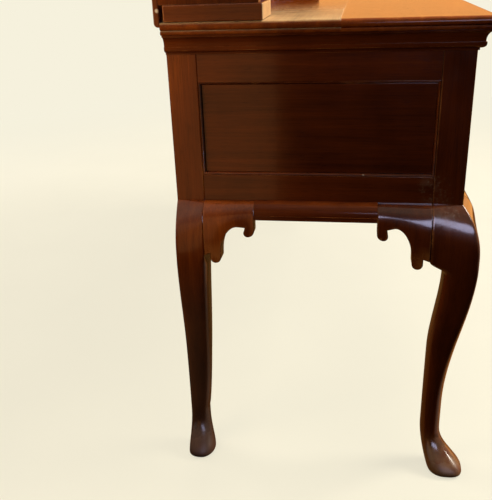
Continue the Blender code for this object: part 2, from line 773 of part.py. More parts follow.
def make_moulding_set(name, face_x, back_y, front_y, profile):
    """A moulding round three sides in three mitred lengths."""
    for side, end in ((-1, "left"), (1, "right")):
        shade_round(solid(f"{name}_{end}", end_run(side, face_x, back_y, front_y, profile)))
    shade_round(solid(name + "_front", front_run(face_x, front_y, profile)))


def bed_profile():
    """Bed moulding under the top: a small foot on the case, an ovolo, a fillet, a cove and a lip."""
    ovolo_bottom = TOP_UNDERSIDE - BED_MOULDING_HEIGHT + BED_FOOT_HEIGHT
    fillet_bottom = ovolo_bottom + BED_OVOLO_HEIGHT
    fillet_top = fillet_bottom + BED_FILLET_HEIGHT
    lip_bottom = FRAME_TOP - BED_LIP_HEIGHT
    cove_foot = BED_FILLET_REACH - BED_FILLET_STEP
    cove_head = BED_MOULDING_REACH - BED_LIP_STEP
    ovolo = (BED_FILLET_REACH - BED_FOOT_REACH, BED_OVOLO_HEIGHT)
    cove = (cove_head - cove_foot, lip_bottom - fillet_top)
    foot = TOP_UNDERSIDE - BED_MOULDING_HEIGHT
    profile = [(0.0, foot), (BED_FOOT_REACH, foot)]
    profile += arc((BED_FOOT_REACH, fillet_bottom), ovolo, -90, 0, 4)
    profile.append((BED_FILLET_REACH, fillet_top))
    profile += arc((cove_head, fillet_top), cove, 180, 90, 5)
    profile += [(BED_MOULDING_REACH, lip_bottom), (BED_MOULDING_REACH, FRAME_TOP), (0.0, FRAME_TOP)]
    return profile


def base_profile():
    """Base moulding: a quarter round over a small fillet."""
    fillet_top = LEG_HEIGHT + BASE_FILLET_HEIGHT
    round_reach = BASE_MOULDING_REACH - BASE_FILLET_STEP
    profile = [(0.0, LEG_HEIGHT), (BASE_MOULDING_REACH, LEG_HEIGHT), (BASE_MOULDING_REACH, fillet_top)]
    profile += arc((0.0, fillet_top), (round_reach, BASE_MOULDING_HEIGHT - BASE_FILLET_HEIGHT), 0, 90, 6)
    return profile


def make_base_mouldings():
    """Strips between the brackets, cut square."""
    profile = base_profile()
    inset = POST_WIDTH + BRACKET_LENGTH + GAP
    for side, end in ((-1, "left"), (1, "right")):
        section = [(side * (X_END + GAP + out), z) for out, z in profile]
        strip = length_of_section(section, "Y", Y_FRONT + inset, Y_BACK - inset)
        shade_round(solid("base_moulding_" + end, strip))
    section = [(Y_FRONT - GAP - out, z) for out, z in profile]
    strip = length_of_section(section, "X", -X_END + inset, X_END - inset)
    shade_round(solid("base_moulding_front", strip))


def make_top():
    """Top board: rounded edge over a bead, on both ends and the front."""

    def rectangle(inset, z):
        x = X_END + TOP_END_OVERHANG - inset
        y0 = Y_FRONT - TOP_FRONT_OVERHANG + inset
        return [(-x, y0, z), (x, y0, z), (x, Y_BACK, z), (-x, Y_BACK, z)]

    radius = TOP_BEAD_HEIGHT / 2
    bead = arc((TOP_BEAD_SETBACK + radius, TOP_UNDERSIDE + radius), (radius, radius), -90, -270, 5)
    edge_bottom = TOP_UNDERSIDE + TOP_BEAD_HEIGHT
    widest = (TOP_NOSE_REACH, edge_bottom + TOP_NOSE_HEIGHT)
    nose = arc(widest, (TOP_NOSE_REACH, TOP_NOSE_HEIGHT), -120, -180, 3)
    nose += arc(widest, (TOP_NOSE_REACH, BASE_HEIGHT - widest[1]), 180, 90, 5)[1:]
    rows = bead + [(TOP_QUIRK, edge_bottom)] + nose
    shade_round(solid("top_board", stacked_rectangles(rectangle, rows)))


# Drawers


def dovetails():
    """Bottom and top of each tail where it leaves the drawer's side."""
    pitch = (DRAWER_SIDE_TOP - DRAWER_BOTTOM_EDGE) / DOVETAIL_COUNT
    lows = [DRAWER_BOTTOM_EDGE + pitch * index + DOVETAIL_PIN_WIDTH / 2 for index in range(DOVETAIL_COUNT)]
    return [(low, low + pitch - DOVETAIL_PIN_WIDTH) for low in lows]


def floor_groove():
    """Heights between which the grooves for a drawer's bottom run."""
    return DRAWER_FLOOR - GAP, DRAWER_FLOOR + DRAWER_BOTTOM_THICKNESS + GAP


def make_drawer_side(name, x_range, groove_x, slider):
    """A side with tails that lock into the front, and a groove for the bottom."""
    shoulder = Y_FRONT + DRAWER_FRONT_THICKNESS + GAP
    tip = shoulder - DOVETAIL_LENGTH
    outline = [(DRAWER_REAR, DRAWER_BOTTOM_EDGE), (shoulder, DRAWER_BOTTOM_EDGE)]
    for low, high in dovetails():
        outline += [(shoulder, low), (tip, low - DOVETAIL_FLARE)]
        outline += [(tip, high + DOVETAIL_FLARE), (shoulder, high)]
    outline += [(shoulder, DRAWER_SIDE_TOP), (DRAWER_REAR, DRAWER_SIDE_TOP)]
    mesh = length_of_section(outline, "X", *x_range)
    side = solid(name, mesh, look=INSIDE_WOOD, origin=slider.location, parent=slider)
    groove = box(groove_x, (tip - OVERCUT, DRAWER_REAR + OVERCUT), floor_groove())
    apply_boolean(side, "DIFFERENCE", groove)


def make_drawer_front(name, x_range, slider):
    """A cock-beaded front with sockets for the tails and a groove for the bottom."""
    x0, x1 = x_range
    back = Y_FRONT + DRAWER_FRONT_THICKNESS

    def rectangle(inset, y):
        left = x0 + inset
        right = x1 - inset
        low = DRAWER_BOTTOM_EDGE + inset
        high = DRAWER_FRONT_TOP - inset
        return [(left, y, low), (right, y, low), (right, y, high), (left, y, high)]

    half = DRAWER_BEAD_WIDTH / 2
    rows = [(0.0, back)] + arc((half, Y_FRONT), (half, -DRAWER_BEAD_REACH), 180, 0, 4)
    front = solid(name, stacked_rectangles(rectangle, rows), origin=slider.location, parent=slider)
    into = DRAWER_SIDE_THICKNESS + GAP
    for socket_x in ((x0 - OVERCUT, x0 + into), (x1 - into, x1 + OVERCUT)):
        for low, high in dovetails():
            apply_boolean(front, "DIFFERENCE", length_of_section(socket_outline(low, high), "X", *socket_x))
    inset = DRAWER_SIDE_THICKNESS - DRAWER_GROOVE_DEPTH - GAP
    groove = box((x0 + inset, x1 - inset), (back - DRAWER_GROOVE_DEPTH - GAP, back + OVERCUT), floor_groove())
    apply_boolean(front, "DIFFERENCE", groove)


def socket_outline(low, high):
    """Outline of the socket for one tail, in depth and height, run out past the back of the drawer front."""
    shoulder = Y_FRONT + DRAWER_FRONT_THICKNESS + GAP
    tip = shoulder - DOVETAIL_LENGTH - GAP
    lower = [(shoulder + OVERCUT, low - GAP), (shoulder, low - GAP), (tip, low - DOVETAIL_FLARE - GAP)]
    upper = [(tip, high + DOVETAIL_FLARE + GAP), (shoulder, high + GAP), (shoulder + OVERCUT, high + GAP)]
    return lower + upper


def make_drawer(name, x_range):
    """One frieze drawer and its two handles, on the empty that slides."""
    x0 = x_range[0] + DRAWER_SIDE_CLEARANCE
    x1 = x_range[1] - DRAWER_SIDE_CLEARANCE
    front_middle = Vector(((x0 + x1) / 2, Y_FRONT, (DRAWER_BOTTOM_EDGE + DRAWER_FRONT_TOP) / 2))
    slider = group(name, front_middle)
    bpy.context.view_layer.update()
    make_drawer_front(name + "_front", (x0, x1), slider)
    inner0 = x0 + DRAWER_SIDE_THICKNESS
    inner1 = x1 - DRAWER_SIDE_THICKNESS
    groove = DRAWER_GROOVE_DEPTH + GAP
    make_drawer_side(name + "_side_left", (x0, inner0), (inner0 - groove, inner0 + OVERCUT), slider)
    make_drawer_side(name + "_side_right", (inner1, x1), (inner1 - OVERCUT, inner1 + groove), slider)
    carried = {"look": INSIDE_WOOD, "origin": slider.location, "parent": slider}
    board(
        name + "_back",
        (inner0 + GAP, inner1 - GAP),
        (DRAWER_REAR - DRAWER_BACK_THICKNESS, DRAWER_REAR),
        (DRAWER_FLOOR + DRAWER_BOTTOM_THICKNESS + GAP, DRAWER_SIDE_TOP - DRAWER_BACK_DROP),
        **carried,
    )
    board(
        name + "_bottom",
        (inner0 - DRAWER_GROOVE_DEPTH, inner1 + DRAWER_GROOVE_DEPTH),
        (Y_FRONT + DRAWER_FRONT_THICKNESS - DRAWER_GROOVE_DEPTH, DRAWER_REAR),
        (DRAWER_FLOOR, DRAWER_FLOOR + DRAWER_BOTTOM_THICKNESS),
        **carried,
    )
    for handle_x, end in ((x0 + HANDLE_INSET, "left"), (x1 - HANDLE_INSET, "right")):
        make_handle(name, end, Vector((handle_x, Y_FRONT, front_middle.z)), slider)


def plate_outline():
    """Shaped outline of a handle plate about its middle: two lobes drawn in above and below."""
    points = []
    for index in range(PLATE_POINTS):
        angle = 2.0 * math.pi * index / PLATE_POINTS
        scallop = 1.0 + PLATE_WAIST * math.cos(4.0 * angle) - PLATE_CUSP * math.cos(8.0 * angle)
        x = PLATE_WIDTH / 2 * math.cos(angle) * scallop
        z = PLATE_HEIGHT / 2 * math.sin(angle) * scallop
        points.append((x, z))
    return points


def turned(profile, centre, steps):
    """A turned form about the -Y axis through centre: the profile is reach from the face, and radius."""
    rings = []
    for reach, radius in profile:
        ring = []
        for index in range(steps):
            angle = 2.0 * math.pi * index / steps
            x = centre.x + radius * math.cos(angle)
            z = centre.z + radius * math.sin(angle)
            ring.append((x, centre.y - reach, z))
        rings.append(ring)
    return skin(rings)


def make_handle(drawer, end, centre, slider):
    """A brass plate with two posts, and the bail that hangs between them."""
    plate_front = GAP + PLATE_THICKNESS
    outline = [(centre.x + x, centre.z + z) for x, z in plate_outline()]
    plate_mesh = length_of_section(outline, "Y", centre.y - GAP, centre.y - plate_front)
    plate = solid(f"{drawer}_plate_{end}", plate_mesh, BRASS, origin=slider.location, parent=slider)
    pivot = Vector((centre.x, centre.y - plate_front - POST_REACH, centre.z + BAIL_PIVOT_RISE))
    hole_radius = BAIL_RADIUS + PIVOT_CLEARANCE
    hole = arc((pivot.y, pivot.z), (hole_radius, hole_radius), 0, 360, POST_SIDES)[:-1]
    half_length = POST_HEAD_RADIUS + OVERCUT
    for side in (-1, 1):
        x = centre.x + side * POST_SPACING / 2
        post = turned(post_profile(plate_front), Vector((x, centre.y, pivot.z)), POST_SIDES)
        apply_boolean(plate, "UNION", post)
        apply_boolean(plate, "DIFFERENCE", length_of_section(hole, "X", x - half_length, x + half_length))
    shade_round(plate)
    make_bail(f"{drawer}_bail_{end}", pivot, slider)


def post_profile(plate_front):
    """A handle post: a foot in the plate, a neck and a round head about the pivot."""
    head = plate_front + POST_REACH
    foot_start = plate_front - PLATE_THICKNESS / 2
    profile = [(foot_start, POST_FOOT_RADIUS), (plate_front + POST_FOOT_HEIGHT, POST_RADIUS)]
    for depth, radius in arc((0.0, 0.0), (POST_HEAD_RADIUS, POST_HEAD_RADIUS), 130, 5, 6):
        profile.append((head + depth, radius))
    return profile


def bail_path():
    """Middle line of half a bail, from its pin to the bottom of its belly: across, up and wire radius."""
    pin = POST_SPACING / 2
    shoulder = pin + BAIL_SHOULDER
    side_bottom = -BAIL_BEND - BAIL_SIDE
    path = [(pin - BAIL_PIN_LENGTH, 0.0)]
    path += arc((shoulder - BAIL_BEND, -BAIL_BEND), (BAIL_BEND, BAIL_BEND), 90, 0, 4)
    path += arc((0.0, side_bottom), (shoulder, BAIL_DROP + side_bottom), 0, -90, 9)
    swelling = BAIL_BELLY_RADIUS - BAIL_RADIUS
    return [(x, z, BAIL_RADIUS + swelling * smooth(-z / BAIL_DROP)) for x, z in path]


def make_bail(name, pivot, slider):
    """A swinging bail, hanging from its pivot line along X."""
    half = bail_path()
    path = half + [(-x, z, radius) for x, z, radius in reversed(half[:-1])]
    rings = []
    for index, (x, z, radius) in enumerate(path):
        before = path[max(0, index - 1)]
        after = path[min(len(path) - 1, index + 1)]
        along = Vector((after[0] - before[0], 0.0, after[1] - before[1])).normalized()
        across = along.cross(Vector((0.0, 1.0, 0.0)))
        ring = []
        for step in range(BAIL_SIDES):
            angle = 2.0 * math.pi * (step + 0.5) / BAIL_SIDES
            offset = across * math.cos(angle) * radius + Vector((0.0, math.sin(angle) * radius, 0.0))
            ring.append(pivot + Vector((x, 0.0, z)) + offset)
        rings.append(ring)
    shade_round(solid(name, skin(rings), BRASS, origin=pivot, parent=slider))


def make_drawers():
    """Two drawers, one on each side of the divider."""
    make_drawer("drawer_left", (-X_END + POST_WIDTH, -DIVIDER_WIDTH / 2))
    make_drawer("drawer_right", (DIVIDER_WIDTH / 2, X_END - POST_WIDTH))


# Plate rack


def rack_end_outline():
    """Outline of a rack end in depth and height: its front edge draws back in an ogee above the foot."""
    front = Y_BACK - RACK_END_DEPTH
    toe = Y_BACK - RACK_BASE_DEPTH
    low = BASE_HEIGHT + RACK_OGEE_BOTTOM
    high = BASE_HEIGHT + RACK_OGEE_TOP
    outline = [(Y_BACK, RACK_END_BOTTOM), (toe, RACK_END_BOTTOM)]
    for step in range(OGEE_STEPS + 1):
        z = low + (high - low) * step / OGEE_STEPS
        outline.append((ease(z, low, toe, high, front), z))
    outline += [(front, RACK_END_TOP), (Y_BACK, RACK_END_TOP)]
    return outline


def shelf_section(z):
    """Section of a shelf: a plate groove in its top and a rounded front edge."""
    back = Y_BACK - GAP
    front = Y_BACK - SHELF_DEPTH
    top = z + SHELF_THICKNESS
    groove = back - SHELF_GROOVE_OFFSET
    nose = SHELF_THICKNESS / 2
    section = [(back, z), (back, top)]
    section += arc((groove, top), (SHELF_GROOVE_WIDTH / 2, SHELF_GROOVE_DEPTH), 0, -180, 4)
    section += arc((front + nose, z + nose), (nose, nose), 90, 270, 6)
    return section


def shelf_heights():
    """Undersides of the shelves, spaced evenly from the lowest to the top of the rack."""
    pitch = (RACK_HEIGHT - SHELF_LOWEST) / len(SHELF_NAMES)
    return [BASE_HEIGHT + SHELF_LOWEST + pitch * index for index in range(len(SHELF_NAMES))]


def make_rack_ends():
    """Shaped end boards, housed for the shelves, each on a foot block."""
    foot_back = Y_BACK - RACK_FOOT_SETBACK
    foot_y = (foot_back - RACK_BASE_DEPTH, foot_back)
    for side, end in ((-1, "left"), (1, "right")):
        x_range = sorted((side * RACK_END_INSIDE, side * RACK_END_X))
        rack_end = solid("rack_end_" + end, length_of_section(rack_end_outline(), "X", *x_range))
        for z in shelf_heights():
            housing = box(
                sorted((side * (RACK_END_INSIDE - OVERCUT), side * (RACK_END_INSIDE + SHELF_HOUSING))),
                (Y_BACK - SHELF_DEPTH - GAP, Y_BACK + OVERCUT),
                (z - GAP, z + SHELF_THICKNESS + GAP),
            )
            apply_boolean(rack_end, "DIFFERENCE", housing)
        foot_x = sorted((side * RACK_X, side * (RACK_X - RACK_FOOT_WIDTH)))
        foot_z = (BASE_HEIGHT + GAP, RACK_FOOT_TOP)
        board("rack_foot_" + end, foot_x, foot_y, foot_z, arris=RACK_FOOT_ARRIS)


def make_shelves():
    """Shelves that run into their housings."""
    reach = RACK_END_INSIDE + SHELF_HOUSING - GAP
    for z, level in zip(shelf_heights(), SHELF_NAMES):
        shade_round(solid("rack_shelf_" + level, length_of_section(shelf_section(z), "X", -reach, reach)))


def make_rack_back():
    """Back of the rack, with a V between its boards, hanging just behind the top board."""
    front = Y_BACK + GAP
    back = front + RACK_BACK_THICKNESS
    half = RACK_BACK_GROOVE / 2
    pitch = 2.0 * RACK_END_X / RACK_BACK_BOARDS
    outline = [(-RACK_END_X, front)]
    for index in range(1, RACK_BACK_BOARDS):
        x = -RACK_END_X + pitch * index
        outline += [(x - half, front), (x, front + half), (x + half, front)]
    outline += [(RACK_END_X, front), (RACK_END_X, back), (-RACK_END_X, back)]
    solid("rack_back", length_of_section(outline, "Z", BASE_HEIGHT - RACK_BACK_DROP, RACK_TOP))


def cornice_profile():
    """Cornice: a bead, a deep cove, a step, a rounded nose and a thin fillet on top."""
    bottom = RACK_TOP - CORNICE_HEIGHT
    bead = CORNICE_BEAD_HEIGHT / 2
    cove_low = bottom + CORNICE_COVE_RISE
    cove_high = RACK_TOP - CORNICE_CROWN_HEIGHT
    nose_root = CORNICE_REACH - CORNICE_NOSE_REACH
    cove_head = nose_root - CORNICE_CROWN_STEP
    nose = CORNICE_NOSE_HEIGHT / 2
    nose_middle = RACK_TOP - CORNICE_FILLET_HEIGHT - nose
    profile = [(0.0, bottom)]
    profile += arc((CORNICE_BEAD_SETBACK, bottom + bead), (bead, bead), -90, 90, 4)
    cove = (cove_head - CORNICE_COVE_SETBACK, cove_high - cove_low)
    profile += arc((cove_head, cove_low), cove, 180, 90, 6)
    profile.append((nose_root, cove_high))
    profile += arc((nose_root, nose_middle), (CORNICE_NOSE_REACH, nose), -90, 90, 4)
    profile += [(nose_root, RACK_TOP), (0.0, RACK_TOP)]
    return profile


def make_rack_top():
    """Top board of the rack and the cornice round it."""
    front = Y_BACK - RACK_END_DEPTH
    top_range = (RACK_TOP - RACK_TOP_THICKNESS, RACK_TOP)
    board("rack_top", (-RACK_END_X, RACK_END_X), (front, Y_BACK), top_range)
    make_moulding_set("rack_cornice", RACK_END_X, Y_BACK, front, cornice_profile())


def main():
    clear_scene()
    make_legs()
    make_brackets()
    make_end_frame(-1, "left")
    make_end_frame(1, "right")
    make_front_frame()
    make_runners()
    make_base_mouldings()
    make_top()
    make_moulding_set("top_moulding", X_END, Y_BACK, Y_FRONT, bed_profile())
    make_drawers()
    make_rack_ends()
    make_shelves()
    make_rack_back()
    make_rack_top()


main()
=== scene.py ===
# A welsh dresser in polished red-brown timber, with bare drawer linings and aged brass handles.
import json
import math
import bmesh
import bpy
from mathutils import Matrix, Vector
from mathutils.bvhtree import BVHTree

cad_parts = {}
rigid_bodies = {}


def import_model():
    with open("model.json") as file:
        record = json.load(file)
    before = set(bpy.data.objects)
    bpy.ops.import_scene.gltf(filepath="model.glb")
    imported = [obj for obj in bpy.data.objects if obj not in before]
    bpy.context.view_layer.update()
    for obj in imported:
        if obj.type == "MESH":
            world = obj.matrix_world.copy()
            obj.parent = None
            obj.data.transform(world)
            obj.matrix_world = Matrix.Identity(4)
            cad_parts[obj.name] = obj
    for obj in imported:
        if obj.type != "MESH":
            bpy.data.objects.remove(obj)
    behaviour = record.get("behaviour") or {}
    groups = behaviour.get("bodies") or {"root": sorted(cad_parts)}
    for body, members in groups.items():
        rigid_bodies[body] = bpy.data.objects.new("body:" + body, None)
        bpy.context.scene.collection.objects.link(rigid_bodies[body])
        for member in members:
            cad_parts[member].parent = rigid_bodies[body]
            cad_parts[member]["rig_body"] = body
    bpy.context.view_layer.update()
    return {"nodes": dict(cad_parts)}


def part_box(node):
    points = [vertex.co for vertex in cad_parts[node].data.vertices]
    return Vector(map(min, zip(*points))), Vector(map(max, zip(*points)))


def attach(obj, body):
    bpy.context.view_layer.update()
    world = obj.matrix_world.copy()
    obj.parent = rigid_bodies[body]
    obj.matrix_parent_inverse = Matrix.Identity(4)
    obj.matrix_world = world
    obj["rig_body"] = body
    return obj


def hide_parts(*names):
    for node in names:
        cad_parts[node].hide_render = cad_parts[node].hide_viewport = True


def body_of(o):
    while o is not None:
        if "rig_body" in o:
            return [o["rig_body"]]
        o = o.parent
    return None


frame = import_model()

# Places taken from the solids, in metres
RAIL_LOW, RAIL_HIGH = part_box("end_bottom_rail_left")
BRACKET_LOW, BRACKET_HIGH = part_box("bracket_left_front")
PANEL_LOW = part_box("end_panel_left")[0]
GAP = 0.0003
POST_WIDTH = 0.048
X_END = -RAIL_LOW.x
Y_FRONT = RAIL_LOW.y - GAP - POST_WIDTH
Y_BACK = RAIL_HIGH.y + GAP + POST_WIDTH
FRAME_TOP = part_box("leg_front_left")[1].z
KNEE_TOP = BRACKET_HIGH.z

# Leg sizes in metres, and the roundness and powers of its curves
KNEE_EDGE = 0.0005
KNEE_HEIGHT = KNEE_TOP - 0.092
KNEE_REACH = 0.0305
KNEE_FULLNESS = 2.4
KNEE_ROUNDNESS = 0.08
KNEE_BLOCK_BOTTOM = KNEE_TOP - 0.089
KNEE_BACK_HEIGHT = KNEE_BLOCK_BOTTOM - 0.024
KNEE_BACK = 0.0238
CALF_HEIGHT = 0.245
CALF_ROUNDNESS = 0.25
ANKLE_HEIGHT = 0.130
ANKLE_SETBACK = 0.0022
ANKLE_WIDTH = 0.0357
FOOT_NECK = 0.088
INSTEP_HOLLOW = 1.8
TOE_HEIGHT = 0.008
TOE_REACH = 0.0395
TOE_ROUNDNESS = 0.30
SOLE_SETBACK = 0.005
HEEL_LIFT = 0.0175
REAR_KNEE_REACH = 0.0028
REAR_KNEE_WIDTH = 0.0535
REAR_TAPER = 0.72
REAR_ANKLE_REACH = 0.0092
REAR_ANKLE_WIDTH = 0.0377
REAR_FOOT_REACH = 0.0090
REAR_FOOT_WIDTH = 0.0500
ROUND_SECTION = 0.5
POST_ROUNDNESS = 0.02

# Bracket sizes in metres, and the hook's curl in degrees
BRACKET_LENGTH = BRACKET_HIGH.y - RAIL_LOW.y + GAP
BRACKET_END_REACH = 0.0225
BRACKET_LEDGE = 0.004
BRACKET_ROLL_DROP = 0.061
BRACKET_END_ROLL_DROP = 0.036
BRACKET_ARRIS = 0.0011
SCROLL_WIDTH = 0.018
OUTER_SCROLL_DROP = 0.0572
OUTER_SCROLL_NECK = 0.0155
OUTER_NOTCH_DROP = 0.0385
HOOK_RADIUS = 0.0072
HOOK_CURL = 150
INNER_SCROLL_DROP = KNEE_TOP - BRACKET_LOW.z
INNER_SCROLL_OFFSET = 0.0105
INNER_NOTCH_DROP = 0.0855
ARCH_CROWN_DROP = 0.0348
REAR_ARCH_SAG = 0.0040
ARCH_CROWN_INSET = 0.011
ARCH_SPRING_RISE = 0.0035

# How finely the pieces are drawn
LEG_POINTS = 64
CORNER_GATHERING = 0.75
LEG_STRETCH_SCALE = 4
POST_RINGS = (KNEE_EDGE, 0.003, 0.008, 0.016)
ROLL_STEPS = 18
SCROLL_STEPS = 16
BRACKET_STATIONS = 30
ARRIS_STEPS = 3
ROUND_STEPS = 6
ROUND_PROFILE = 0.5
BAIL_JOINING = 0.9
BAIL_ROUNDING = 2
WELD = 0.000002
SMALLEST_EDGE = 0.00002
QUARTER_EDGE = 0.001

# Turns between faces
FLAT_TURN = math.radians(0.6)
SHARP_TURN = math.radians(28)
CREASE_TURN = math.radians(48)
WORN_TURN = math.radians(7)
WORN_TURN_SPREAD = math.radians(16)

# Arrises, in metres
BOARD_ARRIS = 0.00035
WORN_ARRIS = 0.0010
BRASS_ARRIS = 0.0002

# The boards of the rack's back: how many, and their sizes in metres
RACK_BACK_BOARDS = 10
RACK_BACK_JOINT = 0.00002
RACK_BACK_ARRIS = 0.0015
RACK_BACK_ROUND = 0.0065

# The joint between the two boards of the top, in metres
TOP_JOINT = -0.021
TOP_JOINT_WIDTH = 0.0020
TOP_JOINT_DEPTH = 0.0003

# Ways that a face can look, and the share of a way from which it counts as looking there
UP = Vector((0.0, 0.0, 1.0))
FRONT = Vector((0.0, -1.0, 0.0))
BACK = Vector((0.0, 1.0, 0.0))
LOOK_START = 0.5
LOOK_SPAN = 0.5

# Even scattering of the boards' grain, and of the rays that look for hollows
BOARD_STEP = 0.6180339
RACK_BACK_STEP = 0.381966
RACK_BACK_TONE_TURN = 2.4
GOLDEN_TURN = math.pi * (3.0 - math.sqrt(5.0))


def smooth(share):
    """An S-shaped rise from 0 to 1."""
    share = min(1.0, max(0.0, share))
    return share * share * (3.0 - 2.0 * share)


def ease(z, low, value_low, high, value_high):
    """A value that runs in an S from one height to another."""
    return value_low + (value_high - value_low) * smooth((z - low) / (high - low))


def arc(centre, radii, start, end, steps):
    """Points of an elliptical arc, angles in degrees."""
    turns = [math.radians(start + (end - start) * step / steps) for step in range(steps + 1)]
    across, up = centre
    return [(across + radii[0] * math.cos(turn), up + radii[1] * math.sin(turn)) for turn in turns]


# Finishes

# The middle of a noise, how far apart boards lie in it, and from where a face or a spot counts
NOISE_MIDDLE = 0.5
BOARD_SPREAD = (3.1, 5.3, 7.7)
LOOKING_UP = (0.5, 0.95)
LOOKING_AHEAD = (0.2, 0.9)
SPOT_CORE = 0.3


def paint(red, green, blue):
    """A screen colour, 0 to 255, as the linear colour that the shaders take."""
    shares = [value / 255.0 for value in (red, green, blue)]
    return (*[s / 12.92 if s <= 0.04045 else ((s + 0.055) / 1.055) ** 2.4 for s in shares], 1.0)


class Strand:
    """A socket of a finish, so that sums on values are written as plain expressions."""

    def __init__(self, socket):
        self.socket = socket
        self.tree = socket.id_data

    def node(self, kind, settings, inputs, output=0):
        """Adds any node: its type, its settings, then the values or links of its sockets."""
        return add_node(self.tree, kind, settings, inputs, output)

    def sum(self, operation, first, second):
        """One sum on two values."""
        return self.node("ShaderNodeMath", {"operation": operation}, {0: first, 1: second})

    def __add__(self, other):
        return self.sum("ADD", self, other)

    def __sub__(self, other):
        return self.sum("SUBTRACT", self, other)

    def __mul__(self, other):
        return self.sum("MULTIPLY", self, other)

    def __rsub__(self, other):
        return self.sum("SUBTRACT", other, self)

    __radd__ = __add__
    __rmul__ = __mul__

    def between(self, low, high):
        """0 below low, 1 above high, an S between."""
        settings = {"interpolation_type": "SMOOTHSTEP"}
        return self.node("ShaderNodeMapRange", settings, {"Value": self, "From Min": low, "From Max": high})

    def shift(self, other):
        """A place moved by another place."""
        return self.node("ShaderNodeVectorMath", {"operation": "ADD"}, {0: self, 1: other})

    def stretch(self, scales):
        """A place scaled along each axis."""
        return self.node("ShaderNodeVectorMath", {"operation": "MULTIPLY"}, {0: self, 1: scales})

    def distance(self, point):
        """How far a place lies from a point."""
        return self.node("ShaderNodeVectorMath", {"operation": "DISTANCE"}, {0: self, 1: point}, "Value")

    def part(self, axis):
        """A place's or direction's value along one axis."""
        return self.node("ShaderNodeSeparateXYZ", {}, {"Vector": self}, axis)

    def speckle(self, scale, detail=3.0, roughness=0.5, wander=0.0):
        """Cloudy noise, around a half, at so many clouds to the metre."""
        inputs = {"Vector": self, "Scale": scale, "Detail": detail, "Roughness": roughness,
                  "Distortion": wander}
        return self.node("ShaderNodeTexNoise", {}, inputs, "Fac")

    def towards(self, colour, share):
        """This colour, mixed so far towards another."""
        return self.node("ShaderNodeMix", {"data_type": "RGBA"}, {0: share, 6: self, 7: colour}, 2)

    def shades(self, stops):
        """A colour for each value, through stops of place and colour."""
        return self.node("ShaderNodeValToRGB", {"stops": stops}, {"Fac": self}, "Color")


def add_node(tree, kind, settings, inputs, output=0):
    """Adds a node to a finish, with its settings first and then its sockets."""
    node = tree.nodes.new(kind)
    for name, value in settings.items():
        if name == "stops":
            while len(node.color_ramp.elements) < len(value):
                node.color_ramp.elements.new(1.0)
            for element, (place, colour) in zip(node.color_ramp.elements, value):
                element.position = place
                element.color = colour
        else:
            setattr(node, name, value)
    for name, value in inputs.items():
        if isinstance(value, Strand):
            tree.links.new(value.socket, node.inputs[name])
        else:
            node.inputs[name].default_value = value
    return Strand(node.outputs[output])


def swung(middle, *swings):
    """A middle value, moved by so much of each noise's swing about its own middle."""
    value = middle
    for noise, share in swings:
        value = value + share * (noise - NOISE_MIDDLE)
    return value


class Finish:
    """A material being made: where its nodes start, and its shader."""

    def __init__(self, name, **constants):
        self.material = bpy.data.materials.new(name)
        self.material.use_nodes = True
        self.tree = self.material.node_tree
        self.shader = self.tree.nodes["Principled BSDF"]
        for socket, value in constants.items():
            self.shader.inputs[socket.replace("_", " ")].default_value = value

    def place(self):
        """Places on the piece, in metres."""
        return add_node(self.tree, "ShaderNodeTexCoord", {}, {}, "Object")

    def mark(self, name):
        """A value kept on the piece's mesh."""
        return add_node(self.tree, "ShaderNodeAttribute", {"attribute_name": name}, {}, "Fac")

    def own_place(self):
        """Places moved apart for each board, so that no two boards share their grain."""
        board = self.mark("board")
        steps = {axis: board * step for axis, step in enumerate(BOARD_SPREAD)}
        return self.place().shift(add_node(self.tree, "ShaderNodeCombineXYZ", {}, steps))

    def facing(self):
        """How much a face looks up, and how much it looks to the front."""
        normal = add_node(self.tree, "ShaderNodeTexCoord", {}, {}, "Normal")
        return normal.part("Z").between(*LOOKING_UP), (0.0 - normal.part("Y")).between(*LOOKING_AHEAD)

    def past(self, axis, start, end):
        """How far a place is along an axis: 0 before the start, 1 past the end."""
        return self.place().part(axis).between(start, end)

    def below(self, start, end):
        """How low a place is: 1 below the start height, 0 above the end height."""
        return 1.0 - self.past("Z", start, end)

    def near(self, spots):
        """How near a place is to one of a few spots, each with its reach."""
        place = self.place()
        found = 0.0
        for spot, reach in spots:
            found = 1.0 - place.distance(spot).between(SPOT_CORE * reach, reach) + found
        return found

    def raise_by(self, height, distance, normal=None):
        """A relief of that height over the surface, on top of another relief."""
        inputs = {"Height": height, "Distance": distance, "Strength": 1.0}
        if normal:
            inputs["Normal"] = normal
        return add_node(self.tree, "ShaderNodeBump", {}, inputs, "Normal")

    def feed(self, **links):
        """Links values to the shader's sockets and hands over the material."""
        for socket, strand in links.items():
            self.tree.links.new(strand.socket, self.shader.inputs[socket.replace("_", " ")])
        return self.material


DEEP_BROWN = paint(37, 14, 4)
DARK_BROWN = paint(66, 27, 8)
RED_BROWN = paint(103, 44, 12)
AMBER_BROWN = paint(160, 76, 18)
FADED_TAN = paint(200, 132, 60)
RUBBED_BROWN = paint(178, 112, 58)
SCUFFED_BROWN = paint(124, 96, 60)
SMOKED_BROWN = paint(84, 72, 58)
NICK_PALE = paint(226, 206, 176)
# Pale tan for dry faded wood, and for painted light on the rack foot's front and the top's rear board
FADED_AND_LIT_TAN = paint(236, 200, 148)
# Darkest brown: pores, dirt, painted shade in the hollows between pieces, and the darkened rear feet
GRIME_AND_SHADE = paint(30, 11, 5)
# Pale grey for dust, and for a painted sheen on the front left knee and post
DUST_AND_SHEEN = paint(150, 132, 112)
BARE_DARK = paint(96, 66, 38)
BARE_MIDDLE = paint(142, 104, 64)
BARE_PALE = paint(176, 138, 92)
BRASS_BRIGHT = paint(212, 168, 92)
BRASS_DULL = paint(150, 108, 52)
BRASS_TARNISH = paint(66, 46, 24)

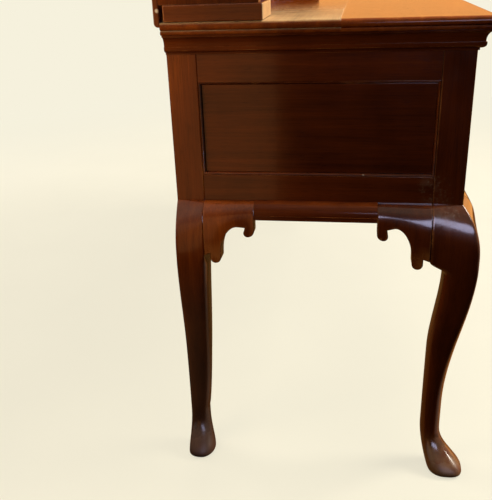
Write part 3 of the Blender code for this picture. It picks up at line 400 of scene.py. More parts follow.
# Shades of the woods and the brass, from the darkest to the palest
POLISHED_SHADES = ((0.0, DEEP_BROWN), (0.30, DARK_BROWN), (0.55, RED_BROWN), (0.85, AMBER_BROWN),
                   (1.0, FADED_TAN))
RAW_SHADES = ((0.25, BARE_DARK), (0.5, BARE_MIDDLE), (0.8, BARE_PALE))
BARE_SHADES = ((0.0, BARE_DARK), (0.5, BARE_MIDDLE), (1.0, BARE_PALE))
BRASS_SHADES = ((0.35, BRASS_DULL), (0.65, BRASS_BRIGHT))

# Grain: its axes, and its waves to the metre across it and along it
GRAIN_AXES = {"x": 0, "y": 1, "z": 2}
FIGURE_WAVES = (46.0, 2.4)
FIBRE_WAVES = (430.0, 9.0)
PORE_WAVES = (1500.0, 48.0)
BARE_FIGURE_WAVES = (38.0, 2.0)
BARE_FIBRE_WAVES = (520.0, 10.0)

# Noises in the finishes, in clouds to the metre
WAVINESS = 9.0
CLOUDS = 7.0
SMEARS = 34.0
FLECKS = 150.0
DIMPLES = 150.0
SPECKS = 520.0
BARE_CLOUDS = 6.0
BRASS_BLOTCHES = 120.0
BRASS_PITS = 900.0

# Relief of the finishes, in metres
WAVE_HEIGHT = 0.0004
DIMPLE_HEIGHT = 0.00006
GRAIN_HEIGHT = 0.00002
BARE_GRAIN_HEIGHT = 0.0002
BRASS_PIT_HEIGHT = 0.00008

# Where age has left its marks, and where light and shade are painted, in metres: spans over which a mark
# comes or goes, and spots with their reach
REAR_SPAN = (-0.10, 0.10)
LEFT_END_SPAN = (-0.72, -0.25)
SMOKE_TOP = (0.24, 0.44)
SCUFF_TOP = (0.020, 0.080)
DARKENED_FOOT_TOP = (0.050, 0.110)
TREAD_TOP = (0.012, 0.034)
# Spots at the front left knee and post, where dust and a painted sheen lie
KNEE_CORNER = (-X_END - 0.018, Y_FRONT + 0.02, KNEE_TOP - 0.006)
POST_CORNER = (-X_END, Y_FRONT + 0.047, KNEE_TOP + 0.026)
DUST_AND_SHEEN_SPOTS = ((KNEE_CORNER, 0.036), (POST_CORNER, 0.034))
PANEL_NICK = (-X_END, -0.061, PANEL_LOW.z + 0.010)
RACK_NICK = (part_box("rack_back")[0].x, 0.2530, 0.8272)
NICKS = ((PANEL_NICK, 0.0035), (RACK_NICK, 0.0040))

# The values between which a noise, or how sunk a place is, turns into a mark
PORE_EDGE = (0.60, 0.72)
RUBBED_EDGE = (0.70, 0.94)
GRIME_AND_SHADE_EDGE = (0.20, 0.60)
DUST_AND_SHEEN_EDGE = (0.45, 0.70)
FLECK_EDGE = (0.52, 0.72)
SCUFF_EDGE = (0.20, 0.70)
JOINT_EDGE = (0.20, 0.50)
RAW_DIRT_EDGE = (0.45, 0.85)
BARE_DIRT_EDGE = (0.52, 0.75)
TARNISH_EDGE = (0.55, 0.85)

# How strongly each mark colours the timber, roughens its polish and takes from its coat
COLOURING = {"pores": 0.40, "rubbed": 0.7, "nicked": 1.0, "raw": 0.9, "grime_and_shade": 0.55, "dust_and_sheen": 0.42,
             "smoked": 0.45, "scuffed": 0.65, "darkened_rear_foot": 0.50, "faded_and_lit": 1.0, "open_joint": 1.0}
ROUGHENING = {"pores": 0.08, "dust_and_sheen": 0.20, "scuffed": 0.12, "raw": 0.50, "dry": 0.22, "darkened_rear_foot": 0.14,
              "trodden": 0.26}
COAT_LOSS = {"rubbed": 0.30, "dust_and_sheen": 0.3, "grime_and_shade": 0.3, "raw": 0.4, "dry": 0.3, "darkened_rear_foot": 0.2,
             "trodden": 0.4}

# Polish
MIDDLE_SHADE = 0.44
BOARD_SHADE = 0.30
# Painted light: how much lighter faces that look up or to the front are made
TOP_AND_FRONT_LIGHT = 0.14
TOP_SMEARING = 0.30
SOUND_ROUGHNESS = 0.13
COAT_ROUGHNESS = 0.06
COAT_SHARE = 0.60
TOP_COAT = 0.30
POLISHED_SHINE = 0.5
DULLED_SHINE = 0.15
POLISH_IOR = 1.5
BARE_IOR = 1.45


def grain_noise(place, grain, waves, detail=3.0, roughness=0.5, wander=0.0):
    """Noise drawn out along the grain, at so many waves to the metre across it and along it."""
    across, along = waves
    scales = [across] * 3
    scales[GRAIN_AXES[grain]] = along
    return place.stretch(scales).speckle(1.0, detail, roughness, wander)


def marks_of_age_and_light(finish, place, clouds, smears):
    """What age has left on the timber, with painted light and shade among it, each from 0 to 1."""
    rubbing = 0.7 * clouds + 0.5 * smears + 0.3 * place.speckle(SPECKS, 2.0)
    flecks = place.speckle(FLECKS, 4.0, 0.65).between(*FLECK_EDGE)
    sunk = finish.mark("sunk")
    rear = finish.past("Y", *REAR_SPAN)
    left_end = 1.0 - finish.past("X", *LEFT_END_SPAN)
    return {
        "rubbed": finish.mark("worn") * (1.0 - sunk) * rubbing.between(*RUBBED_EDGE),
        "nicked": finish.near(NICKS),
        "raw": finish.mark("raw"),
        # painted shade mixed with grime: darker where nearby wood closes a place in
        "grime_and_shade": sunk.between(*GRIME_AND_SHADE_EDGE) * swung(0.6, (smears, 0.8)),
        # dust with a painted sheen: pale greyish patches at the front left knee and post
        "dust_and_sheen": finish.near(DUST_AND_SHEEN_SPOTS) * (0.5 * smears.between(*DUST_AND_SHEEN_EDGE) + 0.5 * flecks),
        "smoked": rear * finish.below(*SMOKE_TOP),
        "scuffed": finish.below(*SCUFF_TOP) * smears.between(*SCUFF_EDGE) * (1.0 - 0.95 * rear),
        # the rear feet darker towards the floor
        "darkened_rear_foot": rear * finish.below(*DARKENED_FOOT_TOP),
        "trodden": finish.below(*TREAD_TOP),
        # dry faces, only towards the left end; their pale colour is partly painted light
        "dry": finish.mark("dry") * left_end,
        "open_joint": finish.mark("joint") * (0.2 + 0.7 * left_end) * smears.between(*JOINT_EDGE),
    }


def polished_timber(name, grain, shine):
    """Old polished timber: streaks and pores along the grain, marks of age with painted light and shade
    among them, a waxed and cloudy gloss.
    """
    finish = Finish(f"{name}_{grain}", Coat_Roughness=COAT_ROUGHNESS, IOR=POLISH_IOR,
                    Specular_IOR_Level=shine)
    place = finish.own_place()
    tone = finish.mark("tone")
    up, ahead = finish.facing()
    figure = grain_noise(place, grain, FIGURE_WAVES, detail=4.0, roughness=0.55, wander=0.7)
    fibres = grain_noise(place, grain, FIBRE_WAVES, roughness=0.6)
    pores = grain_noise(place, grain, PORE_WAVES, detail=1.0).between(*PORE_EDGE)
    clouds = place.speckle(CLOUDS)
    smears = place.speckle(SMEARS, roughness=0.6)
    marks = marks_of_age_and_light(finish, place, clouds, smears)
    marks["pores"] = pores
    # painted light with fading: the dry faces go pale tan
    marks["faded_and_lit"] = marks["dry"] * swung(0.68, (smears, 0.9), (fibres, 0.6))

    # each board's tone is partly its own and partly painted light
    shade = swung(MIDDLE_SHADE, (figure, 0.40), (fibres, 0.22), (clouds, 0.40)) + BOARD_SHADE * tone
    # painted light: faces that look up or to the front are made lighter
    shade = swung(shade + TOP_AND_FRONT_LIGHT * (up + ahead), (smears, TOP_SMEARING * up))
    dirt = clouds.between(*RAW_DIRT_EDGE)
    unpolished = swung(0.5, (figure, 0.5), (fibres, 0.6)) + 0.9 * tone
    unpolished = unpolished.shades(RAW_SHADES).towards(GRIME_AND_SHADE, 0.4 * dirt)
    layers = (("pores", GRIME_AND_SHADE), ("rubbed", RUBBED_BROWN), ("nicked", NICK_PALE), ("raw", unpolished),
              ("grime_and_shade", GRIME_AND_SHADE), ("dust_and_sheen", DUST_AND_SHEEN), ("smoked", SMOKED_BROWN), ("scuffed", SCUFFED_BROWN),
              ("darkened_rear_foot", GRIME_AND_SHADE), ("faded_and_lit", FADED_AND_LIT_TAN), ("open_joint", NICK_PALE))
    colour = shade.shades(POLISHED_SHADES)
    for mark, over in layers:
        colour = colour.towards(over, COLOURING[mark] * marks[mark])

    roughness = swung(SOUND_ROUGHNESS, (smears, 0.10), (clouds, 0.06))
    for mark, share in ROUGHENING.items():
        roughness = roughness + share * marks[mark]
    coat = swung(COAT_SHARE * shine + (TOP_COAT - COAT_SHARE * shine) * up, (smears, 0.3))
    for mark, share in COAT_LOSS.items():
        coat = coat - share * marks[mark]
    waves = finish.raise_by(place.speckle(WAVINESS, 1.0), WAVE_HEIGHT)
    dimples = finish.raise_by(place.speckle(DIMPLES, 2.0), DIMPLE_HEIGHT, waves)
    relief = finish.raise_by(0.5 * fibres + 0.5 * figure, GRAIN_HEIGHT, dimples)
    return finish.feed(Base_Color=colour, Roughness=roughness, Coat_Weight=coat, Normal=relief)


def bare_timber(grain):
    """Unpolished lining timber: dry and pale, with raised grain and old dirt."""
    finish = Finish("bare_timber_" + grain, IOR=BARE_IOR)
    place = finish.own_place()
    figure = grain_noise(place, grain, BARE_FIGURE_WAVES, detail=4.0, roughness=0.55, wander=0.8)
    fibres = grain_noise(place, grain, BARE_FIBRE_WAVES, roughness=0.6)
    clouds = place.speckle(BARE_CLOUDS, 4.0)
    shade = swung(0.45, (figure, 0.8), (fibres, 0.4), (clouds, 0.5))
    colour = shade.shades(BARE_SHADES).towards(GRIME_AND_SHADE, 0.45 * clouds.between(*BARE_DIRT_EDGE))
    relief = finish.raise_by(fibres + 0.4 * figure, BARE_GRAIN_HEIGHT)
    return finish.feed(Base_Color=colour, Roughness=swung(0.72, (fibres, 0.2)), Normal=relief)


def aged_brass():
    """Handle brass: rubbed bright where hands touch it, brown in the rest."""
    finish = Finish("aged_brass", Metallic=1.0)
    place = finish.own_place()
    blotches = place.speckle(BRASS_BLOTCHES, 4.0, 0.6)
    pits = place.speckle(BRASS_PITS, 2.0)
    tarnish = (blotches + 0.3 * pits).between(*TARNISH_EDGE) * (1.0 - 0.8 * finish.mark("worn"))
    colour = blotches.shades(BRASS_SHADES).towards(BRASS_TARNISH, 0.8 * tarnish)
    relief = finish.raise_by(blotches + 0.4 * pits, BRASS_PIT_HEIGHT)
    return finish.feed(Base_Color=colour, Roughness=0.24 + 0.35 * tarnish, Normal=relief)


POLISHED = {grain: polished_timber("polished_timber", grain, POLISHED_SHINE) for grain in GRAIN_AXES}
DULLED = {grain: polished_timber("dulled_timber", grain, DULLED_SHINE) for grain in GRAIN_AXES}
BARE = {grain: bare_timber(grain) for grain in GRAIN_AXES}
BRASS = aged_brass()

# Which way the grain runs in each piece, and how much lighter or darker a board is than the rest, by its
# own tone and partly by painted light
UPRIGHT_GRAIN = ("leg", "bracket", "rack_end", "rack_back", "drawer_divider")
CROSS_GRAIN = ("end", "base_moulding_left", "base_moulding_right", "top_moulding_left",
               "top_moulding_right", "rack_foot", "rack_cornice_left", "rack_cornice_right", "runner",
               "drawer_left_side", "drawer_right_side")
# Some tones are painted light: the left rear bracket, the rear legs and the top lighter as if lit
BOARD_TONES_AND_LIGHT = {"leg_rear": 0.35, "bracket_left_rear": 0.55, "end_panel": -0.10, "leg_front": -0.05,
               "top_board": 0.60, "rack_foot": 0.15}
TOP_REAR_BOARD = 0.37
TOP_REAR_TONE = 0.60
RACK_BACK_TONES = 0.16
DULLED_PIECES = ("rack_end", "rack_top", "top_board")


def grain_of(node):
    """The axis along which a piece's grain runs."""
    if node.startswith(UPRIGHT_GRAIN):
        return "z"
    return "y" if node.startswith(CROSS_GRAIN) else "x"


def tone_and_light_of(node):
    """How much lighter or darker a piece is than the rest, by its own tone and partly by painted light."""
    return next((tone for start, tone in BOARD_TONES_AND_LIGHT.items() if node.startswith(start)), 0.0)


def finish_of(node, slot):
    """The finish of a piece, from its material slot and its grain."""
    if slot == "brass":
        return BRASS
    if slot == "inside_wood":
        return BARE[grain_of(node)]
    dulled = "_moulding_" in node or node.startswith(DULLED_PIECES)
    return (DULLED if dulled else POLISHED)[grain_of(node)]


# Making and showing pieces


def all_solids():
    """Every solid at rest in one tree, for finding the hollows where grime stays and painted shade darkens
    the timber.
    """
    points, faces = [], []
    for solid in frame["nodes"].values():
        start = len(points)
        points += [vertex.co.copy() for vertex in solid.data.vertices]
        faces += [[start + index for index in polygon.vertices] for polygon in solid.data.polygons]
    return BVHTree.FromPolygons(points, faces)


SOLIDS = all_solids()
HOLLOW_LIFT = 0.0006
HOLLOW_REACH = 0.006
HOLLOW_RAYS = 20


def hollowness(place, normal):
    """The share of the space before a point that other wood closes off nearby."""
    across = normal.orthogonal().normalized()
    aside = normal.cross(across)
    start = place + normal * HOLLOW_LIFT
    closed = 0
    for ray in range(HOLLOW_RAYS):
        rise = 1.0 - (ray + 0.5) / HOLLOW_RAYS
        spread = math.sqrt(1.0 - rise * rise)
        turn = ray * GOLDEN_TURN
        way = normal * rise + (across * math.cos(turn) + aside * math.sin(turn)) * spread
        if SOLIDS.ray_cast(start, way, HOLLOW_REACH)[0]:
            closed += 1
    return closed / HOLLOW_RAYS


def mark_hollows(mesh, by_point):
    """Marks how far each face, or each point of a finely drawn mesh, is closed in."""
    mesh.normal_update()
    if by_point:
        sunk = mesh.verts.layers.float.new("sunk")
        for vertex in mesh.verts:
            vertex[sunk] = hollowness(vertex.co, vertex.normal)
    else:
        sunk = mesh.faces.layers.float.new("sunk")
        for face in mesh.faces:
            face[sunk] = hollowness(face.calc_center_median(), face.normal)


def outwards(mesh):
    """Turns every face of a closed mesh to point out of it."""
    bmesh.ops.recalc_face_normals(mesh, faces=mesh.faces)
    if mesh.calc_volume(signed=True) < 0.0:
        bmesh.ops.reverse_faces(mesh, faces=mesh.faces)


def mark_whole(data, name, value):
    """Keeps one value on all of a piece's faces."""
    attribute = data.attributes.new(name, "FLOAT", "FACE")
    attribute.data.foreach_set("value", [value] * len(data.polygons))


def show(node, mesh):
    """Shows a mesh in the place of its solid: same body, same material slot, its own board."""
    solid = frame["nodes"][node]
    slot = solid.material_slots[0].material.name
    data = bpy.data.meshes.new(node + "_shown")
    mesh.to_mesh(data)
    mesh.free()
    number = sorted(frame["nodes"]).index(node)
    mark_whole(data, "board", math.modf(number * BOARD_STEP)[0])
    mark_whole(data, "tone", tone_and_light_of(node))
    data.materials.append(finish_of(node, slot))
    data.shade_smooth()
    data.set_sharp_from_angle(angle=CREASE_TURN)
    piece = bpy.data.objects.new(node + "_shown", data)
    bpy.context.scene.collection.objects.link(piece)
    levelled = piece.modifiers.new("flat_faces_lead", "WEIGHTED_NORMAL")
    levelled.keep_sharp = True
    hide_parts(node)
    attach(piece, body_of(solid)[0])
    return piece


def drawn_from_solid(node):
    """A welded mesh of a solid, with the triangles of each flat face joined."""
    solid = frame["nodes"][node].data
    mesh = bmesh.new()
    points = [mesh.verts.new(vertex.co) for vertex in solid.vertices]
    for polygon in solid.polygons:
        mesh.faces.new([points[index] for index in polygon.vertices])
    bmesh.ops.remove_doubles(mesh, verts=mesh.verts, dist=WELD)
    bmesh.ops.dissolve_limit(mesh, angle_limit=FLAT_TURN, verts=mesh.verts, edges=mesh.edges)
    outwards(mesh)
    return mesh


def ease_arrises(mesh, width):
    """Rounds the sharp outer edges of a mesh and marks the rounded strips as worn."""
    worn = mesh.faces.layers.float.new("worn")
    sharp = [e for e in mesh.edges if e.is_manifold and e.is_convex and e.calc_face_angle() > SHARP_TURN]
    strips = bmesh.ops.bevel(mesh, geom=sharp, offset=width, offset_type="OFFSET", segments=ARRIS_STEPS,
                             profile=ROUND_PROFILE, affect="EDGES", clamp_overlap=True)["faces"]
    for face in strips:
        face[worn] = 1.0
    bmesh.ops.dissolve_degenerate(mesh, dist=SMALLEST_EDGE, edges=mesh.edges)
    mark_hollows(mesh, by_point=False)


def looks(face, way, start=LOOK_START):
    """How far a face looks one way: 0 up to the start, 1 from a span past it."""
    return smooth((face.normal.dot(way) - start) / LOOK_SPAN)


def mark_side(mesh, name, way, start=LOOK_START):
    """Marks the faces of a mesh that look one way."""
    layer = mesh.faces.layers.float.new(name)
    for face in mesh.faces:
        face[layer] = looks(face, way, start)


def show_board(node, arris):
    """A board or moulding with its arrises eased; the rack is dry before its feet, painted lighter there as
    if lit, and unpolished on top.
    """
    mesh = drawn_from_solid(node)
    ease_arrises(mesh, arris)
    if node.startswith("rack_foot"):
        # the rack feet's front faces, dry and painted lighter as if lit
        mark_side(mesh, "dry", FRONT)
    if node.startswith(("rack_top", "rack_cornice")):
        mark_side(mesh, "raw", UP)
    return show(node, mesh)


def set_board(data, polygon, grain, tone):
    """Gives one face of a piece the grain and tone of a board of its own."""
    data.attributes["board"].data[polygon.index].value = grain
    data.attributes["tone"].data[polygon.index].value = tone


def show_rack_back():
    """The boards that close the rack, side by side, each with its own grain and left unpolished behind."""
    low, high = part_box("rack_back")
    width = (high.x - low.x) / RACK_BACK_BOARDS
    mesh = bmesh.new()
    for board in range(RACK_BACK_BOARDS):
        last = board == RACK_BACK_BOARDS - 1
        start = low.x + board * width + (RACK_BACK_JOINT / 2 if board else 0.0)
        end = low.x + (board + 1) * width - (0.0 if last else RACK_BACK_JOINT / 2)
        size = Vector((end - start, high.y - low.y, high.z - low.z))
        middle = Vector(((start + end) / 2, (low.y + high.y) / 2, (low.z + high.z) / 2))
        placed = Matrix.Translation(middle) @ Matrix.Diagonal((*size, 1.0))
        bmesh.ops.create_cube(mesh, size=1.0, matrix=placed)
    hanging = [edge for edge in mesh.edges
               if all(vertex.co.y > middle.y and vertex.co.z < middle.z for vertex in edge.verts)]
    bmesh.ops.bevel(mesh, geom=hanging, offset=RACK_BACK_ROUND, offset_type="OFFSET", segments=ROUND_STEPS,
                    profile=ROUND_PROFILE, affect="EDGES")
    ease_arrises(mesh, RACK_BACK_ARRIS)
    mark_side(mesh, "raw", BACK, start=0.0)
    data = show("rack_back", mesh).data
    for polygon in data.polygons:
        board = int((polygon.center.x - low.x) / width)
        own_grain = math.modf((board + 1) * RACK_BACK_STEP)[0]
        own_tone = RACK_BACK_TONES * math.sin(board * RACK_BACK_TONE_TURN)
        set_board(data, polygon, own_grain, own_tone)


def show_top_board():
    """The two boards of the top, with the joint between them open a little and the rear one dry, painted
    lighter as if lit.
    """
    mesh = drawn_from_solid("top_board")
    edges = (TOP_JOINT - TOP_JOINT_WIDTH / 2, TOP_JOINT, TOP_JOINT + TOP_JOINT_WIDTH / 2)
    cut_lines(mesh, 1, edges)
    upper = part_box("top_board")[1].z
    for vertex in mesh.verts:
        if abs(vertex.co.y - TOP_JOINT) < WELD and upper - vertex.co.z < WELD:
            vertex.co.z -= TOP_JOINT_DEPTH
    ease_arrises(mesh, WORN_ARRIS)
    dry = mesh.faces.layers.float.new("dry")
    joint = mesh.faces.layers.float.new("joint")
    for face in mesh.faces:
        middle = face.calc_center_median()
        on_top = looks(face, UP)
        # the rear board's top, dry and painted lighter as if lit
        face[dry] = on_top if middle.y > edges[2] else 0.0
        face[joint] = on_top if edges[0] < middle.y < edges[2] else 0.0
    data = show("top_board", mesh).data
    for polygon in data.polygons:
        if polygon.center.y > TOP_JOINT:
            set_board(data, polygon, TOP_REAR_BOARD, TOP_REAR_TONE)


def mark_worn_points(mesh):
    """Marks the points of a finely drawn mesh where its faces turn outwards."""
    worn = mesh.verts.layers.float.new("worn")
    for vertex in mesh.verts:
        turns = [edge.calc_face_angle_signed(0.0) for edge in vertex.link_edges]
        vertex[worn] = smooth((max(turns) - WORN_TURN) / WORN_TURN_SPREAD)
    mark_hollows(mesh, by_point=True)


def skin(rings):
    """A closed mesh through rings of points, with a face over each end."""
    mesh = bmesh.new()
    loops = [[mesh.verts.new(point) for point in ring] for ring in rings]
    count = len(rings[0])
    for lower, upper in zip(loops, loops[1:]):
        for index in range(count):
            after = (index + 1) % count
            mesh.faces.new((lower[index], lower[after], upper[after], upper[index]))
    mesh.faces.new(list(reversed(loops[0])))
    mesh.faces.new(loops[-1])
    return mesh


# Legs


def knee_face(z):
    """How far a leg's curved face stands out from the face of the case."""
    if z >= KNEE_TOP:
        return 0.0
    if z >= KNEE_HEIGHT:
        rise = (z - KNEE_HEIGHT) / (KNEE_TOP - KNEE_HEIGHT)
        return KNEE_REACH * (1.0 - rise**KNEE_FULLNESS)
    if z >= FOOT_NECK:
        return ease(z, ANKLE_HEIGHT, -ANKLE_SETBACK, KNEE_HEIGHT, KNEE_REACH)
    if z >= TOE_HEIGHT:
        drop = (FOOT_NECK - z) / (FOOT_NECK - TOE_HEIGHT)
        return -ANKLE_SETBACK + (TOE_REACH + ANKLE_SETBACK) * smooth(drop**INSTEP_HOLLOW)
    return TOE_REACH - SOLE_SETBACK * (1.0 - z / TOE_HEIGHT) ** 2


def bracket_face(z, share):
    """How far a bracket stands out: upright, then rolled over to a ledge, and flatter towards its end."""
    reach = KNEE_REACH + (BRACKET_END_REACH - KNEE_REACH) * smooth(share)
    drop = BRACKET_ROLL_DROP + (BRACKET_END_ROLL_DROP - BRACKET_ROLL_DROP) * smooth(share)
    rise = min(1.0, max(0.0, 1.0 - (KNEE_TOP - z) / drop))
    return BRACKET_LEDGE + (reach - BRACKET_LEDGE) * math.sqrt(1.0 - rise * rise)


def knee_swell(z):
    """How much fuller the knee is beside a bracket than at its outer corner."""
    if KNEE_HEIGHT <= z < KNEE_TOP:
        return max(0.0, bracket_face(z, 0.0) - knee_face(z))
    return 0.0


def knee_back(z):
    """How far the inner side of a curved leg lies in from the face of the case."""
    ankle_back = ANKLE_SETBACK + ANKLE_WIDTH
    if z >= KNEE_BACK_HEIGHT:
        return ease(z, KNEE_BACK_HEIGHT, KNEE_BACK, KNEE_BLOCK_BOTTOM, POST_WIDTH)
    if z >= FOOT_NECK:
        return ease(z, CALF_HEIGHT, ankle_back, KNEE_BACK_HEIGHT, KNEE_BACK)
    return ankle_back - HEEL_LIFT * (1.0 - z / FOOT_NECK) ** 2


def rear_face(z):
    """How far a rear leg stands out behind the back of the case."""
    if z >= KNEE_HEIGHT:
        return ease(z, KNEE_HEIGHT, REAR_KNEE_REACH, KNEE_TOP, 0.0)
    if z >= FOOT_NECK:
        return ease(z, ANKLE_HEIGHT, REAR_ANKLE_REACH, KNEE_HEIGHT, REAR_KNEE_REACH)
    if z >= TOE_HEIGHT:
        return ease(z, TOE_HEIGHT, REAR_FOOT_REACH, FOOT_NECK, REAR_ANKLE_REACH)
    return REAR_FOOT_REACH - SOLE_SETBACK * (1.0 - z / TOE_HEIGHT) ** 2


def rear_back(z):
    """How far the inner side of a rear leg lies in from the back of the case."""
    knee = REAR_KNEE_WIDTH - REAR_KNEE_REACH
    ankle = REAR_ANKLE_WIDTH - REAR_ANKLE_REACH
    foot = REAR_FOOT_WIDTH - REAR_FOOT_REACH
    if z >= KNEE_BACK_HEIGHT:
        return ease(z, KNEE_BACK_HEIGHT, knee, KNEE_BLOCK_BOTTOM, POST_WIDTH)
    if z >= FOOT_NECK:
        rise = (z - FOOT_NECK) / (KNEE_BACK_HEIGHT - FOOT_NECK)
        return ankle + (knee - ankle) * rise**REAR_TAPER
    if z >= TOE_HEIGHT:
        drop = (FOOT_NECK - z) / (FOOT_NECK - TOE_HEIGHT)
        return ankle + (foot - ankle) * smooth(drop**INSTEP_HOLLOW)
    return foot - SOLE_SETBACK * (1.0 - z / TOE_HEIGHT) ** 2


def outer_roundness(z):
    """Roundness of a leg's outer corner: crisp at the knee, round at the ankle, pointed at the toe."""
    if z >= KNEE_HEIGHT:
        return ease(z, KNEE_HEIGHT, KNEE_ROUNDNESS, KNEE_TOP, POST_ROUNDNESS)
    if z >= FOOT_NECK:
        return ease(z, ANKLE_HEIGHT, ROUND_SECTION, KNEE_HEIGHT, KNEE_ROUNDNESS)
    return ease(z, TOE_HEIGHT, TOE_ROUNDNESS, FOOT_NECK, ROUND_SECTION)


def inner_roundness(z):
    """Roundness of a leg's other corners: square where the brackets join, round from the calf down."""
    if z >= KNEE_BACK_HEIGHT:
        return ease(z, KNEE_BACK_HEIGHT, CALF_ROUNDNESS, KNEE_BLOCK_BOTTOM, POST_ROUNDNESS)
    return ease(z, ANKLE_HEIGHT, ROUND_SECTION, KNEE_BACK_HEIGHT, CALF_ROUNDNESS)


def leg_section(z, side_span, depth_span, depth_swell):
    """Points of a leg's section, as distances out from the end face and from the front or back face."""
    side_low, side_high = side_span
    depth_low, depth_high = depth_span
    side_swell = knee_swell(z)
    points = []
    for index in range(LEG_POINTS):
        even = 2.0 * math.pi * index / LEG_POINTS
        turn = even + CORNER_GATHERING * math.sin(4.0 * even) / 4.0
        cosine = math.cos(turn)
        sine = math.sin(turn)
        outer = cosine > QUARTER_EDGE and sine > QUARTER_EDGE
        roundness = outer_roundness(z) if outer else inner_roundness(z)
        power = 1.0 / roundness
        reach = (abs(cosine) ** power + abs(sine) ** power) ** (-roundness)
        across = (1.0 + reach * cosine) / 2
        along = (1.0 + reach * sine) / 2
        side = side_low + across * (side_high - side_low + side_swell * (1.0 - along))
        depth = depth_low + along * (depth_high - depth_low + depth_swell * (1.0 - across))
        points.append((side, depth))
    return points


def roll_heights():
    """Heights at even turns of the rolled edge of the knees and brackets."""
    turns = [math.pi / 2 * step / ROLL_STEPS for step in range(ROLL_STEPS)]
    return [KNEE_TOP - BRACKET_ROLL_DROP * (1.0 - math.sin(turn)) for turn in turns]


def leg_heights():
    """Heights of the sections of a leg, closer where its outline turns faster."""
    stretches = ((0.0, TOE_HEIGHT, 2), (TOE_HEIGHT, FOOT_NECK, 6), (FOOT_NECK, ANKLE_HEIGHT, 2),
                 (ANKLE_HEIGHT, CALF_HEIGHT, 3), (CALF_HEIGHT, KNEE_BACK_HEIGHT, 4),
                 (KNEE_BACK_HEIGHT, KNEE_BLOCK_BOTTOM, 3),
                 (KNEE_BLOCK_BOTTOM, KNEE_TOP - BRACKET_ROLL_DROP, 2))
    heights = []
    for low, high, count in stretches:
        steps = count * LEG_STRETCH_SCALE
        heights += [low + (high - low) * step / steps for step in range(steps)]
    post = [KNEE_TOP + inset for inset in POST_RINGS]
    post += [FRAME_TOP - inset for inset in reversed(POST_RINGS)]
    return heights + roll_heights() + [KNEE_TOP - KNEE_EDGE, KNEE_TOP] + post + [FRAME_TOP]


def show_leg(node, side, front):
    """A cabriole leg and its corner post in one piece."""
    rings = []
    for z in leg_heights():
        side_span = (-knee_back(z), knee_face(z))
        depth_span = side_span if front else (-rear_back(z), rear_face(z))
        depth_swell = knee_swell(z) if front else 0.0
        section = leg_section(z, side_span, depth_span, depth_swell)
        base_y, turn = (Y_FRONT, -1) if front else (Y_BACK, 1)
        rings.append([(side * (X_END + out), base_y + turn * depth, z) for out, depth in section])
    mesh = skin(rings)
    outwards(mesh)
    mark_worn_points(mesh)
    return show(node, mesh)


# Ear brackets


def bracket_outline(sag):
    """Outline of an ear bracket, scroll, arch and hook, as distances from the leg and heights."""
    radius = SCROLL_WIDTH / 2
    inner_centre = (INNER_SCROLL_OFFSET + radius, KNEE_TOP - INNER_SCROLL_DROP + radius)
    outer_inside = BRACKET_LENGTH - SCROLL_WIDTH
    hook_bottom = KNEE_TOP - OUTER_SCROLL_DROP
    hook_middle = outer_inside + HOOK_RADIUS
    hook_round = (HOOK_RADIUS, HOOK_RADIUS)
    hook_end = BRACKET_LENGTH - hook_middle
    crown = KNEE_TOP - ARCH_CROWN_DROP - sag
    spring = inner_centre[1] + ARCH_SPRING_RISE
    arch_middle = outer_inside - ARCH_CROWN_INSET
    arch = (arch_middle - INNER_SCROLL_OFFSET - SCROLL_WIDTH, crown - spring)
    outline = [(GAP, KNEE_TOP), (GAP, KNEE_BLOCK_BOTTOM)]
    outline.append((INNER_SCROLL_OFFSET, KNEE_TOP - INNER_NOTCH_DROP))
    outline += arc(inner_centre, (radius, radius), 180, 360, SCROLL_STEPS)
    outline += arc((arch_middle, spring), arch, 180, 90, SCROLL_STEPS)
    outline.append((BRACKET_LENGTH - OUTER_SCROLL_NECK, KNEE_TOP - OUTER_NOTCH_DROP - sag / 2))
    outline += arc((hook_middle, hook_bottom + HOOK_RADIUS), hook_round, HOOK_CURL, 270, SCROLL_STEPS)
    outline += arc((hook_middle, hook_bottom + hook_end), (hook_end, hook_end), 270, 360, SCROLL_STEPS)[1:]
    outline.append((BRACKET_LENGTH, KNEE_TOP))
    return outline


def cut_lines(mesh, axis, places):
    """Adds lines across a mesh at places along an axis, so that it can bend there."""
    for place in places:
        geometry = mesh.verts[:] + mesh.edges[:] + mesh.faces[:]
        point = [place if index == axis else 0.0 for index in range(3)]
        direction = [1.0 if index == axis else 0.0 for index in range(3)]
        bmesh.ops.bisect_plane(mesh, geom=geometry, dist=WELD, plane_co=point, plane_no=direction)


def show_bracket(node, place, sag=0.0):
    """A scrolled bracket whose face follows the knee; place turns along, out and height into a point."""
    mesh = bmesh.new()
    face = mesh.faces.new([mesh.verts.new((along, height, 0.0)) for along, height in bracket_outline(sag)])
    raised = bmesh.ops.extrude_face_region(mesh, geom=[face])["geom"]
    fronts = [item for item in raised if isinstance(item, bmesh.types.BMVert)]
    bmesh.ops.translate(mesh, verts=fronts, vec=(0.0, 0.0, KNEE_REACH))
    rim = [edge for edge in mesh.edges if all(vertex.co.z > 0.0 for vertex in edge.verts)]
    bmesh.ops.bevel(mesh, geom=rim, offset=BRACKET_ARRIS, segments=ARRIS_STEPS, affect="EDGES",
                    clamp_overlap=True)
    cut_lines(mesh, 1, roll_heights())
    cut_lines(mesh, 0, [BRACKET_LENGTH * step / BRACKET_STATIONS for step in range(1, BRACKET_STATIONS)])
    for vertex in mesh.verts:
        along, height, forward = vertex.co
        out = GAP + forward / KNEE_REACH * (bracket_face(height, along / BRACKET_LENGTH) - GAP)
        vertex.co = place(along, out, height)
    outwards(mesh)
    mark_worn_points(mesh)
    return show(node, mesh)


